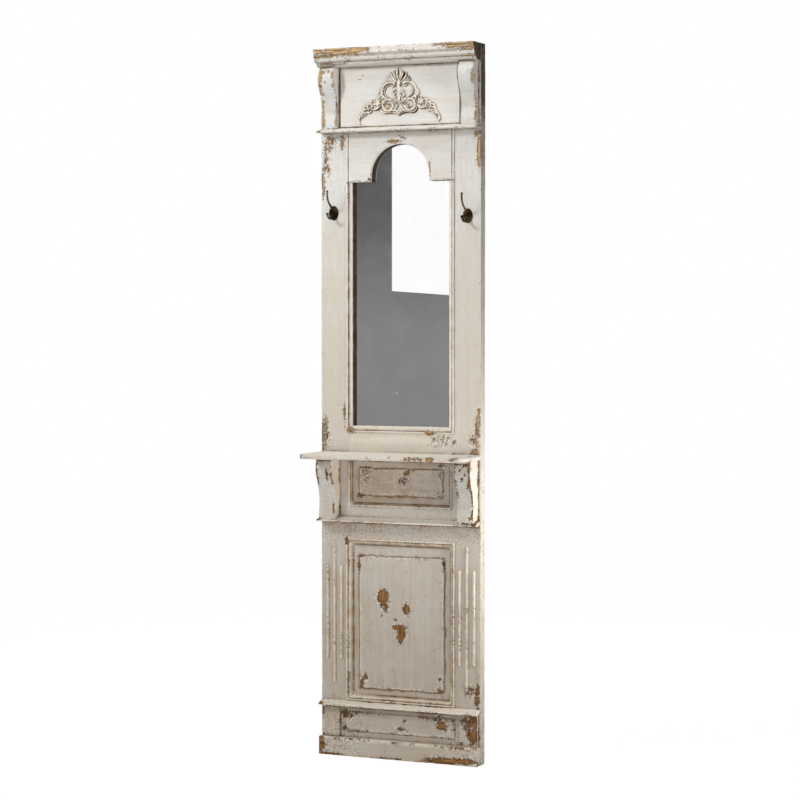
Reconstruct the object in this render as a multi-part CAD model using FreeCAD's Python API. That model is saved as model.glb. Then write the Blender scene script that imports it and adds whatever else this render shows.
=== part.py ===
import FreeCAD, Part
import math
import os

# Tall wall mirror: a panelled face frame with cornice, arched mirror, hooks and shelf.
# X runs to the right, Y into the wall and Z up. The wall is Y = 0, the front faces -Y,
# and the origin is on the wall at the bottom middle. Sizes are in millimetres.
# "out" is a distance from the wall, so a point that stands out by d lies at Y = -d.

# Whole panel
HEIGHT = 2000.0
WIDTH = 491.0
BODY_DEPTH = 31.0
BOARD = 18.0
STILE_WIDTH = 87.5
BATTEN_WIDTH = 24.0
CROSS_BATTEN_HEIGHT = 40.0

# Zones, from the floor up to the shelf and from the top down to the mirror
PLINTH_HEIGHT = 52.0
BASE_HEIGHT = 90.0
LEDGE_HEIGHT = 14.5
DADO_HEIGHT = 511.5
LOWER_CORBEL_HEIGHT = 167.5
SHELF_THICKNESS = 15.0
MIRROR_SILL_HEIGHT = 55.0
CORNICE_HEIGHT = 50.0
UPPER_CORBEL_HEIGHT = 168.5
ARCH_BOARD_HEIGHT = 141.0

# Cornice, as steps from its top edge down to the frieze
CORNICE_OUT = 55.5
FASCIA_HEIGHT = 17.0
CYMA_HEIGHT = 19.0
CYMA_OUT = 44.0
CYMA_SWELL = 1.2
FILLET_STEP = 7.0
OVOLO_FOOT_OUT = 14.0

# Ledges: sloping strips with a thin nose
LEDGE_NOSE = 4.0
UPPER_LEDGE_OUT = 35.5
MIDDLE_LEDGE_OUT = 40.0
LOWER_LEDGE_OUT = 26.0

# Frieze board and its carved ornament
FRIEZE_GAP = 4.0
FRIEZE_THICKNESS = 6.0
ORNAMENT_RELIEF = 8.0
ORNAMENT_RISE = 6.5

# Shelf
SHELF_OUT = 150.0
SHELF_CORNER_RADIUS = 16.0
SHELF_NOSE_RADIUS = 6.0

# Corbels
CORBEL_INSET = 8.0
CORBEL_WIDTH = 49.5
CORBEL_EDGE_RADIUS = 3.0
# Each corbel's face, as (stand-out, share of its height), from foot to top
UPPER_CORBEL_FACE = (
    (17.0, 0.0), (18.5, 0.08), (13.0, 0.3), (21.0, 0.5), (37.5, 0.72), (41.0, 0.84), (29.0, 1.0),
)
LOWER_CORBEL_FACE = (
    (35.0, 0.0), (36.5, 0.07), (33.0, 0.3), (40.0, 0.52), (56.0, 0.76), (57.5, 0.86), (52.0, 1.0),
)

# Panel mouldings: outer width of each frame, strip width and how far a strip laps onto the frame
BEAD_PROUD = 1.5
BEAD_RISE = 2.5
BEAD_WIDTH = 6.0
LIP_WIDTH = 1.5
MIRROR_STRIP_WIDTH = 19.0
MIRROR_LIP_DEPTH = 7.5
ARCH_HALF_WIDTH = 88.5
ARCH_STILT = 16.0
ARCH_EDGE_RADIUS = 6.5
ARCH_PROUD = 3.0
MIRROR_LAP = 8.0
TALL_STRIP_WIDTH = 20.0
TALL_LAP = 10.0
TALL_FRAME_GAP = 48.5
SMALL_STRIP_WIDTH = 12.0
SMALL_LAP = 2.0
SMALL_FRAME_RISE = 28.0
SMALL_LIP_DEPTH = 6.0

# Raised panels: a flange behind the frame, a margin in the opening and a field that stands up
PANEL_FLANGE = 8.0
PANEL_FLANGE_THICKNESS = 5.0
PANEL_PLAY = 0.5
FIELD_BEVEL = 2.5
TALL_MARGIN_DEPTH = 13.0
TALL_FIELD_RISE = 3.5
TALL_FIELD_INSET = 15.0
TALL_FIELD_TOP_GAP = 48.0
TALL_FIELD_CORNER = 15.0
SMALL_MARGIN_DEPTH = 8.0
SMALL_FIELD_RISE = 6.0
SMALL_FIELD_INSET = 18.0
SMALL_FIELD_TOP_GAP = 29.0

# Base zone: plinth, blocks and the planted base panel
PLINTH_OUT = 22.5
PLINTH_EDGE_RADIUS = 6.0
BASE_BLOCK_THICKNESS = 7.0
BASE_BLOCK_INSET = 6.0
BASE_BLOCK_WIDTH = 53.5
BASE_FIELD_THICKNESS = 4.0
BASE_FIELD_MARGIN = 15.0

# Reeds on the stiles: the middle line's inset, and the distances to the ledges below and above
REED_RADIUS = 4.6
REED_PITCH = 21.5
REED_INSET = 41.0
LONG_REED_RISE = 48.5
LONG_REED_GAP = 57.0
SHORT_REED_RISE = 117.5
SHORT_REED_GAP = 126.0

# Mirror
GLASS_THICKNESS = 4.0
GLASS_OVERLAP = 10.0
GLASS_TOP_COVER = 18.0
BACKING_THICKNESS = 3.0
CLIP_SHEET = 1.2
CLIP_WIDTH = 16.0
CLIP_FOOT = 12.0
CLIP_TONGUE = 8.0
CLIP_PLAY = 0.3
CLIPS_PER_SIDE = 4
CLIPS_PER_END = 2

# Coat hooks: oval plate, long upper arm and short lower arm; each hangs a drop below the upper ledge
HOOK_INSET = 39.5
LEFT_HOOK_DROP = 226.0
RIGHT_HOOK_DROP = 241.0
HOOK_PLATE_WIDTH = 30.0
HOOK_PLATE_HEIGHT = 41.0
HOOK_PLATE_THICKNESS = 5.0
HOOK_PLATE_ROUND = 2.4
UPPER_ARM_RADIUS = 2.5
UPPER_ARM_RISE = 8.0
UPPER_ARM_RUN = 28.0
UPPER_ARM_ANGLE = 32.0
UPPER_ARM_BEND = 36.0
UPPER_ARM_END_ANGLE = 100.0
UPPER_KNOB_RADIUS = 3.4
LOWER_ARM_RADIUS = 3.2
LOWER_ARM_DROP = 6.0
LOWER_ARM_RUN = 16.0
LOWER_ARM_ANGLE = -30.0
LOWER_ARM_BEND = 17.0
LOWER_ARM_END_ANGLE = 75.0
LOWER_KNOB_RADIUS = 4.2
HOOK_SCREW_OFFSET = 8.5

# Screws
SCREW_RADIUS = 1.75
SCREW_HEAD_RADIUS = 3.4
SCREW_HEAD_HEIGHT = 1.6
SCREW_PLAY = 0.1
HOOK_SCREW_BITE = 12.0
THIN_SCREW_BITE = 10.0
SHELF_SCREW_RADIUS = 2.2
SHELF_SCREW_HEAD_RADIUS = 4.2
SHELF_SCREW_LENGTH = 50.0
SHELF_SCREW_INSET = 28.0
SHELF_SCREWS = 3

# Strap hangers and their D-rings
HANGER_INSET = 125.5
HANGER_DROP = 110.0
STRAP_WIDTH = 16.0
STRAP_LENGTH = 58.0
STRAP_THICKNESS = 1.6
BARREL_RADIUS = 3.5
RING_WIRE_RADIUS = 1.6
RING_PLAY = 0.05
RING_HALF_WIDTH = 14.0
RING_DROP = 18.0
STRAP_SCREW_FIRST = 15.0
STRAP_SCREW_PITCH = 32.0

# Places that follow from the sizes above
HALF_WIDTH = WIDTH / 2
OPENING_X = HALF_WIDTH - STILE_WIDTH
HOLLOW = BODY_DEPTH - BOARD
BATTEN_X = HALF_WIDTH - BATTEN_WIDTH
CORNICE_Z = HEIGHT - CORNICE_HEIGHT
UPPER_LEDGE_TOP = CORNICE_Z - UPPER_CORBEL_HEIGHT
UPPER_LEDGE_Z = UPPER_LEDGE_TOP - LEDGE_HEIGHT
LOWER_LEDGE_Z = PLINTH_HEIGHT + BASE_HEIGHT
LOWER_LEDGE_TOP = LOWER_LEDGE_Z + LEDGE_HEIGHT
MIDDLE_LEDGE_Z = LOWER_LEDGE_TOP + DADO_HEIGHT
MIDDLE_LEDGE_TOP = MIDDLE_LEDGE_Z + LEDGE_HEIGHT
SHELF_Z = MIDDLE_LEDGE_TOP + LOWER_CORBEL_HEIGHT
CORBEL_INNER_X = HALF_WIDTH - CORBEL_INSET - CORBEL_WIDTH
FRIEZE_X = CORBEL_INNER_X - FRIEZE_GAP
HOOK_X = HALF_WIDTH - HOOK_INSET
HANGER_X = HALF_WIDTH - HANGER_INSET
HANGER_Z = HEIGHT - HANGER_DROP
SHELF_TOP = SHELF_Z + SHELF_THICKNESS
ARCH_BOARD_Z = UPPER_LEDGE_Z - ARCH_BOARD_HEIGHT
MIRROR_FRAME_X = OPENING_X + MIRROR_LAP
MIRROR_FRAME_Z = SHELF_TOP + MIRROR_SILL_HEIGHT
SILL_TOP = MIRROR_FRAME_Z + MIRROR_LAP
TALL_FRAME_X = OPENING_X + TALL_LAP
TALL_FRAME_TOP = MIDDLE_LEDGE_Z - TALL_FRAME_GAP
TALL_OPENING_Z = LOWER_LEDGE_TOP + TALL_LAP
TALL_OPENING_TOP = TALL_FRAME_TOP - TALL_LAP
SMALL_FRAME_X = OPENING_X + SMALL_LAP
SMALL_FRAME_Z = MIDDLE_LEDGE_TOP + SMALL_FRAME_RISE
SMALL_OPENING_Z = SMALL_FRAME_Z + SMALL_LAP
FRIEZE_FRONT = BODY_DEPTH + FRIEZE_THICKNESS
GLASS_X = OPENING_X + GLASS_OVERLAP
GLASS_Z = SILL_TOP - GLASS_OVERLAP
GLASS_TOP = UPPER_LEDGE_Z - GLASS_TOP_COVER
GLASS_BACK = HOLLOW - GLASS_THICKNESS
BACKING_BACK = GLASS_BACK - BACKING_THICKNESS
BASE_BLOCK_INNER_X = HALF_WIDTH - BASE_BLOCK_INSET - BASE_BLOCK_WIDTH
PIVOT_OUT = HOLLOW - BARREL_RADIUS

V = FreeCAD.Vector
LEFT = -1
RIGHT = 1
SIDE_NAMES = {LEFT: "left", RIGHT: "right"}


def block(x0, x1, out0, out1, z0, z1):
    """Box between two X planes, two distances from the wall and two heights."""
    return Part.makeBox(x1 - x0, out1 - out0, z1 - z0, V(x0, -out1, z0))


def outline(start, steps, place):
    """Closed wire. A step is (corner,) for a line, or (middle, end) for an arc."""
    edges = []
    here = start
    for step in steps:
        end = step[-1]
        if len(step) == 1:
            edges.append(Part.LineSegment(place(*here), place(*end)).toShape())
        else:
            edges.append(Part.Arc(place(*here), place(*step[0]), place(*end)).toShape())
        here = end
    edges.append(Part.LineSegment(place(*here), place(*start)).toShape())
    return Part.Wire(edges)


def along_x(x0, x1, start, steps):
    """Solid of one (out, z) section between two X planes."""
    wire = outline(start, steps, lambda out, z: V(x0, -out, z))
    return Part.Face(wire).extrude(V(x1 - x0, 0, 0))


def plate(points, out0, out1):
    """Flat solid with an (x, z) polygon outline between two distances from the wall."""
    corners = [V(x, -out0, z) for x, z in points]
    face = Part.Face(Part.makePolygon(corners + corners[:1]))
    return face.extrude(V(0, out0 - out1, 0))


def rod(x, out0, out1, z, radius):
    """Cylinder square to the wall."""
    return Part.makeCylinder(radius, out1 - out0, V(x, -out0, z), V(0, -1, 0))


def fused(shapes):
    """One clean solid from overlapping ones."""
    return shapes[0].multiFuse(shapes[1:]).removeSplitter()


def mirrored(shape, side):
    """The shape itself for the right side, its mirror image for the left."""
    if side == RIGHT:
        return shape
    return shape.mirror(V(0, 0, 0), V(1, 0, 0))


def front_edges(shape, out):
    """Edges that lie wholly in the plane at a distance from the wall."""
    return [e for e in shape.Edges if all(abs(v.y + out) < 1e-6 for v in edge_points(e))]


def edge_points(edge):
    """Three points along an edge."""
    first, last = edge.ParameterRange
    return [edge.valueAt(first + (last - first) * share) for share in (0.0, 0.5, 1.0)]


# Face frame and back battens

def make_stile(side):
    """Full-height upright with pilot holes for its hook's screws."""
    stile = block(OPENING_X, HALF_WIDTH, HOLLOW, BODY_DEPTH, 0, HEIGHT)
    hook_depth = BODY_DEPTH - HOOK_SCREW_BITE
    hole_radius = SCREW_RADIUS + SCREW_PLAY
    holes = [rod(x, hook_depth, BODY_DEPTH, z, hole_radius) for x, z in hook_screw_places(side)]
    holes += pilot_holes(side_clip_screws())
    return mirrored(stile.cut(Part.makeCompound(holes)), side)


def pilot_holes(places):
    """Blind holes from the hollow for the thin screws."""
    return [rod(x, HOLLOW, HOLLOW + THIN_SCREW_BITE, z, SCREW_RADIUS + SCREW_PLAY) for x, z in places]


def make_arch_board():
    """Board over the mirror, between the stiles, with the arch cut in it."""
    front = BODY_DEPTH + ARCH_PROUD
    core = block(-OPENING_X, OPENING_X, HOLLOW, front, ARCH_BOARD_Z, UPPER_LEDGE_Z)
    spring = ARCH_BOARD_Z + ARCH_STILT
    arch = outline(
        (-ARCH_HALF_WIDTH, ARCH_BOARD_Z),
        [
            ((-ARCH_HALF_WIDTH, spring),),
            ((0, spring + ARCH_HALF_WIDTH), (ARCH_HALF_WIDTH, spring)),
            ((ARCH_HALF_WIDTH, ARCH_BOARD_Z),),
        ],
        lambda x, z: V(x, -HOLLOW, z),
    )
    cutter = Part.Face(arch).extrude(V(0, HOLLOW - front, 0))
    board = core.cut(cutter)
    board = board.makeFillet(ARCH_EDGE_RADIUS, arch_edges(board, front))
    return board.cut(Part.makeCompound(pilot_holes(end_clip_screws(1))))


def arch_edges(board, front):
    """Front edges of the arch itself, without the board's outer outline."""
    edges = []
    for edge in front_edges(board, front):
        middle = edge_points(edge)[1]
        if abs(middle.x) <= ARCH_HALF_WIDTH + 1e-6 and middle.z < UPPER_LEDGE_Z - 1e-6:
            edges.append(edge)
    return edges


def make_rail(z0, z1):
    """Board between the stiles."""
    return block(-OPENING_X, OPENING_X, HOLLOW, BODY_DEPTH, z0, z1)


def make_frieze_rail():
    """Top rail with pilot holes for the hangers' screws."""
    holes = pilot_holes(strap_screws())
    return make_rail(UPPER_LEDGE_Z, HEIGHT).cut(Part.makeCompound(holes))


def make_sill_rail():
    """Rail under the mirror, bored for the shelf's screws and the lower clips' screws."""
    hole_radius = SHELF_SCREW_RADIUS + SCREW_PLAY
    holes = [rod(x, HOLLOW, BODY_DEPTH, z, hole_radius) for x, z in shelf_screw_places()]
    holes += pilot_holes(end_clip_screws(-1))
    return make_rail(SHELF_Z, SILL_TOP).cut(Part.makeCompound(holes))


def make_battens():
    """Strips on the back that keep the panel off the wall and meet it."""
    upright = block(BATTEN_X, HALF_WIDTH, 0, HOLLOW, 0, HEIGHT)
    middle_z = (TALL_OPENING_TOP + SMALL_OPENING_Z - CROSS_BATTEN_HEIGHT) / 2
    cross = {
        "bottom_back_batten": 0.0,
        "middle_back_batten": middle_z,
        "top_back_batten": HEIGHT - CROSS_BATTEN_HEIGHT,
    }
    battens = {f"{SIDE_NAMES[side]}_back_batten": mirrored(upright, side) for side in (LEFT, RIGHT)}
    for name, z in cross.items():
        battens[name] = block(-BATTEN_X, BATTEN_X, 0, HOLLOW, z, z + CROSS_BATTEN_HEIGHT)
    return battens


# Mouldings

def strip_section(width, lap, lip_depth, back_out):
    """Section of a moulding, as (inward, out): a bead on the frame, a slope and a lip in the opening."""
    crest = BODY_DEPTH + BEAD_PROUD
    lip = BODY_DEPTH - lip_depth
    steps = [
        ((0.0, crest),),
        ((BEAD_WIDTH / 2, crest + BEAD_RISE), (BEAD_WIDTH, crest)),
    ]
    if lap > BEAD_WIDTH:
        steps.append(((lap, crest),))
    steps += [
        ((width - LIP_WIDTH, lip + LIP_WIDTH),),
        ((width, lip),),
        ((width, back_out),),
        ((lap, back_out),),
        ((lap, BODY_DEPTH),),
    ]
    return (0.0, BODY_DEPTH), steps


def strip(side, half_width, z0, z1, section, width, mitres):
    """One strip of a moulding frame; mitres tells which of its (first, last) ends is mitred."""
    start, steps = section
    low = width if mitres[0] else 0.0
    high = width if mitres[1] else 0.0
    if side in SIDE_NAMES.values():
        sign = LEFT if side == "left" else RIGHT
        wire = outline(start, steps, lambda w, out: V(sign * (half_width - w), -out, z0))
        body = Part.Face(wire).extrude(V(0, 0, z1 - z0))
        outer = sign * half_width
        inner = sign * (half_width - width)
        ends = [(outer, z0), (outer, z1), (inner, z1 - high), (inner, z0 + low)]
    else:
        sign = -1 if side == "bottom" else 1
        outer = z0 if side == "bottom" else z1
        wire = outline(start, steps, lambda w, out: V(-half_width, -out, outer - sign * w))
        body = Part.Face(wire).extrude(V(2 * half_width, 0, 0))
        inner = outer - sign * width
        ends = [(-half_width, outer), (half_width, outer)]
        ends += [(half_width - high, inner), (-half_width + low, inner)]
    return body.common(plate(ends, 0, BODY_DEPTH + BEAD_PROUD + BEAD_RISE))


def make_mouldings():
    """Mitred strips round the mirror, the small panel and the tall panel."""
    mirror = strip_section(MIRROR_STRIP_WIDTH, MIRROR_LAP, MIRROR_LIP_DEPTH, HOLLOW)
    small = strip_section(SMALL_STRIP_WIDTH, SMALL_LAP, SMALL_LIP_DEPTH, BODY_DEPTH - SMALL_MARGIN_DEPTH)
    tall = strip_section(
        TALL_STRIP_WIDTH, TALL_LAP, TALL_MARGIN_DEPTH - LIP_WIDTH, BODY_DEPTH - TALL_MARGIN_DEPTH)
    open_top = (True, False)
    both = (True, True)
    # Above the arch board's foot only the bead runs on, up to the ledge
    beside_arch = block(-OPENING_X, OPENING_X, 0, MIRROR_FRAME_X, ARCH_BOARD_Z, UPPER_LEDGE_Z)
    strips = {}
    for side in ("left", "right", "bottom"):
        mitres = both if side == "bottom" else open_top
        mirror_strip = strip(
            side, MIRROR_FRAME_X, MIRROR_FRAME_Z, UPPER_LEDGE_Z, mirror, MIRROR_STRIP_WIDTH, mitres)
        strips[f"mirror_moulding_{side}"] = mirror_strip.cut(beside_arch)
        strips[f"small_moulding_{side}"] = strip(
            side, SMALL_FRAME_X, SMALL_FRAME_Z, SHELF_Z, small, SMALL_STRIP_WIDTH, mitres)
    for side in ("left", "right", "bottom", "top"):
        strips[f"tall_moulding_{side}"] = strip(
            side, TALL_FRAME_X, LOWER_LEDGE_TOP, TALL_FRAME_TOP, tall, TALL_STRIP_WIDTH, both)
    return strips


# Panels

def raised_field(x, z0, z1, out0, rise, corner=0.0):
    """Slab with bevelled front edges; its top corners are rounded where a radius is given."""
    slab = block(-x, x, out0, out0 + rise, z0, z1)
    if corner:
        slab = slab.makeFillet(corner, [e for e in slab.Edges if is_top_corner(e, z1)])
    return slab.makeChamfer(FIELD_BEVEL, front_edges(slab, out0 + rise))


def is_top_corner(edge, top):
    """Whether an edge runs straight out from the wall at the slab's top."""
    box = edge.BoundBox
    return box.XLength < 1e-3 and box.ZLength < 1e-3 and box.ZMin > top - 1e-3


def make_panel(z0, z1, margin_out, field, top_flange):
    """Panel that fills an opening from behind: flange, margin and raised field."""
    x = OPENING_X
    flange = block(
        -x - PANEL_FLANGE, x + PANEL_FLANGE, HOLLOW - PANEL_FLANGE_THICKNESS, HOLLOW,
        z0 - PANEL_FLANGE, z1 + top_flange)
    margin = block(
        -x + PANEL_PLAY, x - PANEL_PLAY, HOLLOW, margin_out, z0 + PANEL_PLAY, z1 - PANEL_PLAY)
    return fused([flange, margin, field])


def make_tall_panel():
    """Panel of the lower opening."""
    margin_out = BODY_DEPTH - TALL_MARGIN_DEPTH
    inset = TALL_STRIP_WIDTH + TALL_FIELD_INSET
    field = raised_field(
        TALL_FRAME_X - inset, LOWER_LEDGE_TOP + inset, TALL_FRAME_TOP - TALL_FIELD_TOP_GAP, margin_out,
        TALL_FIELD_RISE, TALL_FIELD_CORNER)
    return make_panel(TALL_OPENING_Z, TALL_OPENING_TOP, margin_out, field, PANEL_FLANGE)


def make_small_panel():
    """Panel of the opening under the shelf; its top flange stays clear of the shelf's screws."""
    margin_out = BODY_DEPTH - SMALL_MARGIN_DEPTH
    inset = SMALL_STRIP_WIDTH + SMALL_FIELD_INSET
    field = raised_field(
        SMALL_FRAME_X - inset, SMALL_FRAME_Z + inset, SHELF_Z - SMALL_FIELD_TOP_GAP, margin_out,
        SMALL_FIELD_RISE)
    top_flange = SHELF_THICKNESS / 2 - SHELF_SCREW_HEAD_RADIUS - PANEL_PLAY
    return make_panel(SMALL_OPENING_Z, SHELF_Z, margin_out, field, top_flange)


def make_base_panel():
    """Low panel planted on the bottom rail between the base blocks."""
    x = BASE_BLOCK_INNER_X - BASE_FIELD_MARGIN
    return raised_field(
        x, PLINTH_HEIGHT + BASE_FIELD_MARGIN, LOWER_LEDGE_Z - BASE_FIELD_MARGIN, BODY_DEPTH,
        BASE_FIELD_THICKNESS)


# Planted pieces

def make_cornice():
    """Crown: fascia, hollow-and-round curve, fillet and quarter round."""
    top = HEIGHT
    fascia = top - FASCIA_HEIGHT
    cyma = fascia - CYMA_HEIGHT
    step_out = CYMA_OUT - FILLET_STEP
    half_out = (CORNICE_OUT + CYMA_OUT) / 2
    half_z = (fascia + cyma) / 2
    swell = CYMA_SWELL
    run = step_out - OVOLO_FOOT_OUT
    rise = cyma - CORNICE_Z
    radius = (run ** 2 + rise ** 2) / (2 * rise)
    turn = math.atan2(rise, run)
    ovolo_mid = (OVOLO_FOOT_OUT + radius * math.sin(turn), CORNICE_Z + radius * (1 - math.cos(turn)))
    face = [
        (CORNICE_OUT, top),
        (CORNICE_OUT, fascia),
        ((CORNICE_OUT + half_out) / 2 - swell, (fascia + half_z) / 2 + swell, half_out, half_z),
        ((CYMA_OUT + half_out) / 2 + swell, (cyma + half_z) / 2 - swell, CYMA_OUT, cyma),
        (step_out, cyma),
        (*ovolo_mid, OVOLO_FOOT_OUT, CORNICE_Z),
        (0.0, CORNICE_Z),
    ]
    return along_x(-HALF_WIDTH, HALF_WIDTH, (BODY_DEPTH, top), body_steps(face))


def body_steps(points):
    """Steps for along_x from corners and arcs whose stand-out is measured from the body's front."""
    steps = []
    for point in points:
        pairs = [(BODY_DEPTH + point[i], point[i + 1]) for i in range(0, len(point), 2)]
        steps.append(tuple(pairs))
    return steps


def make_ledge(z, out):
    """Sloping strip with a thin square nose."""
    face = [(out, z), (out, z + LEDGE_NOSE), (0.0, z + LEDGE_HEIGHT)]
    return along_x(-HALF_WIDTH, HALF_WIDTH, (BODY_DEPTH, z), body_steps(face))


def make_shelf():
    """Board with rounded front corners and a rounded nose, bored for its screws."""
    front = BODY_DEPTH + SHELF_OUT
    board = block(-HALF_WIDTH, HALF_WIDTH, BODY_DEPTH, front, SHELF_Z, SHELF_TOP)
    corners = [e for e in front_edges(board, front) if abs(edge_points(e)[1].x) > HALF_WIDTH - 1e-6]
    board = board.makeFillet(SHELF_CORNER_RADIUS, corners)
    nose = [e for e in board.Edges if is_shelf_nose(e)]
    board = board.makeFillet(SHELF_NOSE_RADIUS, nose)
    depth = BODY_DEPTH + SHELF_SCREW_LENGTH
    holes = [rod(x, HOLLOW, depth, z, SHELF_SCREW_RADIUS + SCREW_PLAY) for x, z in shelf_screw_places()]
    return board.cut(Part.makeCompound(holes))


def is_shelf_nose(edge):
    """Whether an edge runs round the top or bottom of the shelf, apart from its back."""
    points = edge_points(edge)
    level = abs(points[0].z - points[2].z) < 1e-6
    at_back = all(abs(p.y + BODY_DEPTH) < 1e-6 for p in points)
    return level and not at_back


def make_corbel(side, z0, z1, face, rest):
    """S-shaped bracket whose foot is scribed to the ledge that it stands on."""
    height = z1 - z0
    foot_out = face[0][0]
    points = [V(CORBEL_INNER_X, -BODY_DEPTH - out, z0 + share * height) for out, share in face]
    curve = Part.BSplineCurve()
    curve.interpolate(points)
    low = z0 - LEDGE_HEIGHT
    corners = [
        V(CORBEL_INNER_X, -BODY_DEPTH, z1),
        V(CORBEL_INNER_X, -BODY_DEPTH, low),
        V(CORBEL_INNER_X, -BODY_DEPTH - foot_out, low),
    ]
    around = [points[-1]] + corners + [points[0]]
    edges = [curve.toShape()]
    edges += [Part.LineSegment(a, b).toShape() for a, b in zip(around, around[1:])]
    body = Part.Face(Part.Wire(edges)).extrude(V(CORBEL_WIDTH, 0, 0))
    body = body.makeFillet(CORBEL_EDGE_RADIUS, [e for e in body.Edges if is_corbel_edge(e)])
    return mirrored(body.cut(rest), side)


def is_corbel_edge(edge):
    """Whether an edge runs up one side of the corbel's face."""
    box = edge.BoundBox
    return box.XLength < 1e-3 and box.YMax < -BODY_DEPTH - 1e-3


def make_reed(x, z, length):
    """Half-round bead with round ends."""
    core = Part.makeCylinder(REED_RADIUS, length - 2 * REED_RADIUS, V(x, -BODY_DEPTH, z + REED_RADIUS))
    ends = [
        Part.makeSphere(REED_RADIUS, V(x, -BODY_DEPTH, z + REED_RADIUS)),
        Part.makeSphere(REED_RADIUS, V(x, -BODY_DEPTH, z + length - REED_RADIUS)),
    ]
    half = block(x - REED_RADIUS, x + REED_RADIUS, BODY_DEPTH, BODY_DEPTH + REED_RADIUS, z, z + length)
    return fused([core] + ends).common(half)


def make_plinth():
    """Foot board with a rounded top edge."""
    front = BODY_DEPTH + PLINTH_OUT
    board = block(-HALF_WIDTH, HALF_WIDTH, BODY_DEPTH, front, 0, PLINTH_HEIGHT)
    top = [e for e in front_edges(board, front) if edge_points(e)[1].z > PLINTH_HEIGHT - 1e-6]
    return board.makeFillet(PLINTH_EDGE_RADIUS, top)


def make_base_block(side):
    """Flat block beside the base panel."""
    outer = BASE_BLOCK_INNER_X + BASE_BLOCK_WIDTH
    front = BODY_DEPTH + BASE_BLOCK_THICKNESS
    base = block(BASE_BLOCK_INNER_X, outer, BODY_DEPTH, front, PLINTH_HEIGHT, LOWER_LEDGE_Z)
    return mirrored(base, side)


# Carved ornament, flat-cut. Places are (x, height over its foot) on the right half.
# Bows are (x, z, middle radius, width, first angle, last angle); bosses are (x, z, radius).
ORNAMENT_BOWS = (
    (24.5, 92.0, 22.5, 6.5, -85.0, 120.0),
    (31.0, 51.0, 15.0, 6.5, -175.0, 105.0),
    (88.0, 49.0, 8.5, 5.0, -60.0, 200.0),
    (108.0, 28.0, 10.0, 5.0, -20.0, 150.0),
    (106.5, 15.5, 19.0, 5.0, -40.0, 40.0),
)
ORNAMENT_BOSSES = (
    (16.0, 109.0, 6.0),
    (11.0, 80.0, 7.0),
    (20.0, 46.0, 6.0),
    (52.0, 66.0, 7.0),
    (67.0, 60.0, 12.0),
    (82.0, 46.0, 6.0),
    (99.0, 40.0, 6.0),
    (120.0, 4.0, 4.0),
)
# Leaves are (root x, root z, tip x, tip z, width); the stem is the leaf in the middle
ORNAMENT_STEM = (0.0, 55.0, 0.0, 151.0, 14.0)
ORNAMENT_LEAVES = (
    (2.0, 100.0, 20.0, 137.0, 9.0),
    (2.0, 96.0, 12.0, 146.0, 9.0),
    (44.0, 84.0, 62.0, 68.0, 10.0),
    (-5.0, 27.0, 34.0, 36.0, 8.0),
    (40.0, 38.0, 68.0, 50.0, 9.0),
    (58.0, 46.0, 92.0, 40.0, 9.0),
    (88.0, 42.0, 122.0, 22.0, 9.0),
    (-4.0, 63.0, 28.0, 56.0, 9.0),
)


def bow(x, z, radius, width, first, last):
    """Ring sector in the ornament's plane."""
    outer = radius + width / 2
    inner = radius - width / 2
    middle = (first + last) / 2

    def point(r, angle):
        turn = math.radians(angle)
        return V(x + r * math.cos(turn), -FRIEZE_FRONT, z + r * math.sin(turn))

    edges = [
        Part.Arc(point(outer, first), point(outer, middle), point(outer, last)).toShape(),
        Part.LineSegment(point(outer, last), point(inner, last)).toShape(),
        Part.Arc(point(inner, last), point(inner, middle), point(inner, first)).toShape(),
        Part.LineSegment(point(inner, first), point(outer, first)).toShape(),
    ]
    return Part.Face(Part.Wire(edges)).extrude(V(0, -ORNAMENT_RELIEF, 0))


def leaf(x0, z0, x1, z1, width):
    """Pointed leaf between root and tip, made of two arcs."""
    root = V(x0, -FRIEZE_FRONT, z0)
    tip = V(x1, -FRIEZE_FRONT, z1)
    middle = (root + tip) / 2
    along = (tip - root).normalize()
    across = V(-along.z, 0, along.x) * (width / 2)
    edges = [
        Part.Arc(root, middle + across, tip).toShape(),
        Part.Arc(tip, middle - across, root).toShape(),
    ]
    return Part.Face(Part.Wire(edges)).extrude(V(0, -ORNAMENT_RELIEF, 0))


def make_ornament():
    """Scrolls, bosses and leaves of the carving, the same on both halves."""
    foot = UPPER_LEDGE_TOP + ORNAMENT_RISE
    half = [bow(x, foot + z, *rest) for x, z, *rest in ORNAMENT_BOWS]
    half += [
        rod(x, FRIEZE_FRONT, FRIEZE_FRONT + ORNAMENT_RELIEF, foot + z, radius)
        for x, z, radius in ORNAMENT_BOSSES
    ]
    half += [leaf(x0, foot + z0, x1, foot + z1, width) for x0, z0, x1, z1, width in ORNAMENT_LEAVES]
    x0, z0, x1, z1, width = ORNAMENT_STEM
    stem = leaf(x0, foot + z0, x1, foot + z1, width)
    return fused([stem] + half + [mirrored(piece, LEFT) for piece in half])


# Mirror glass, backing and clips

def side_clip_heights():
    """Heights of the clips along each side of the glass."""
    step = (GLASS_TOP - GLASS_Z) / CLIPS_PER_SIDE
    return [GLASS_Z + step * (i + 0.5) for i in range(CLIPS_PER_SIDE)]


def end_clip_places():
    """X places of the clips along the top and bottom of the glass."""
    step = 2 * GLASS_X / CLIPS_PER_END
    return [-GLASS_X + step * (i + 0.5) for i in range(CLIPS_PER_END)]


def side_clip_screws():
    """Screw places of the right-hand side clips."""
    x = GLASS_X + CLIP_PLAY + CLIP_SHEET + CLIP_FOOT / 2
    return [(x, z) for z in side_clip_heights()]


def end_clip_screws(end):
    """Screw places of the bottom (-1) or top (1) clips."""
    edge = GLASS_Z if end < 0 else GLASS_TOP
    z = edge + end * (CLIP_PLAY + CLIP_SHEET + CLIP_FOOT / 2)
    return [(x, z) for x in end_clip_places()]


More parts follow.
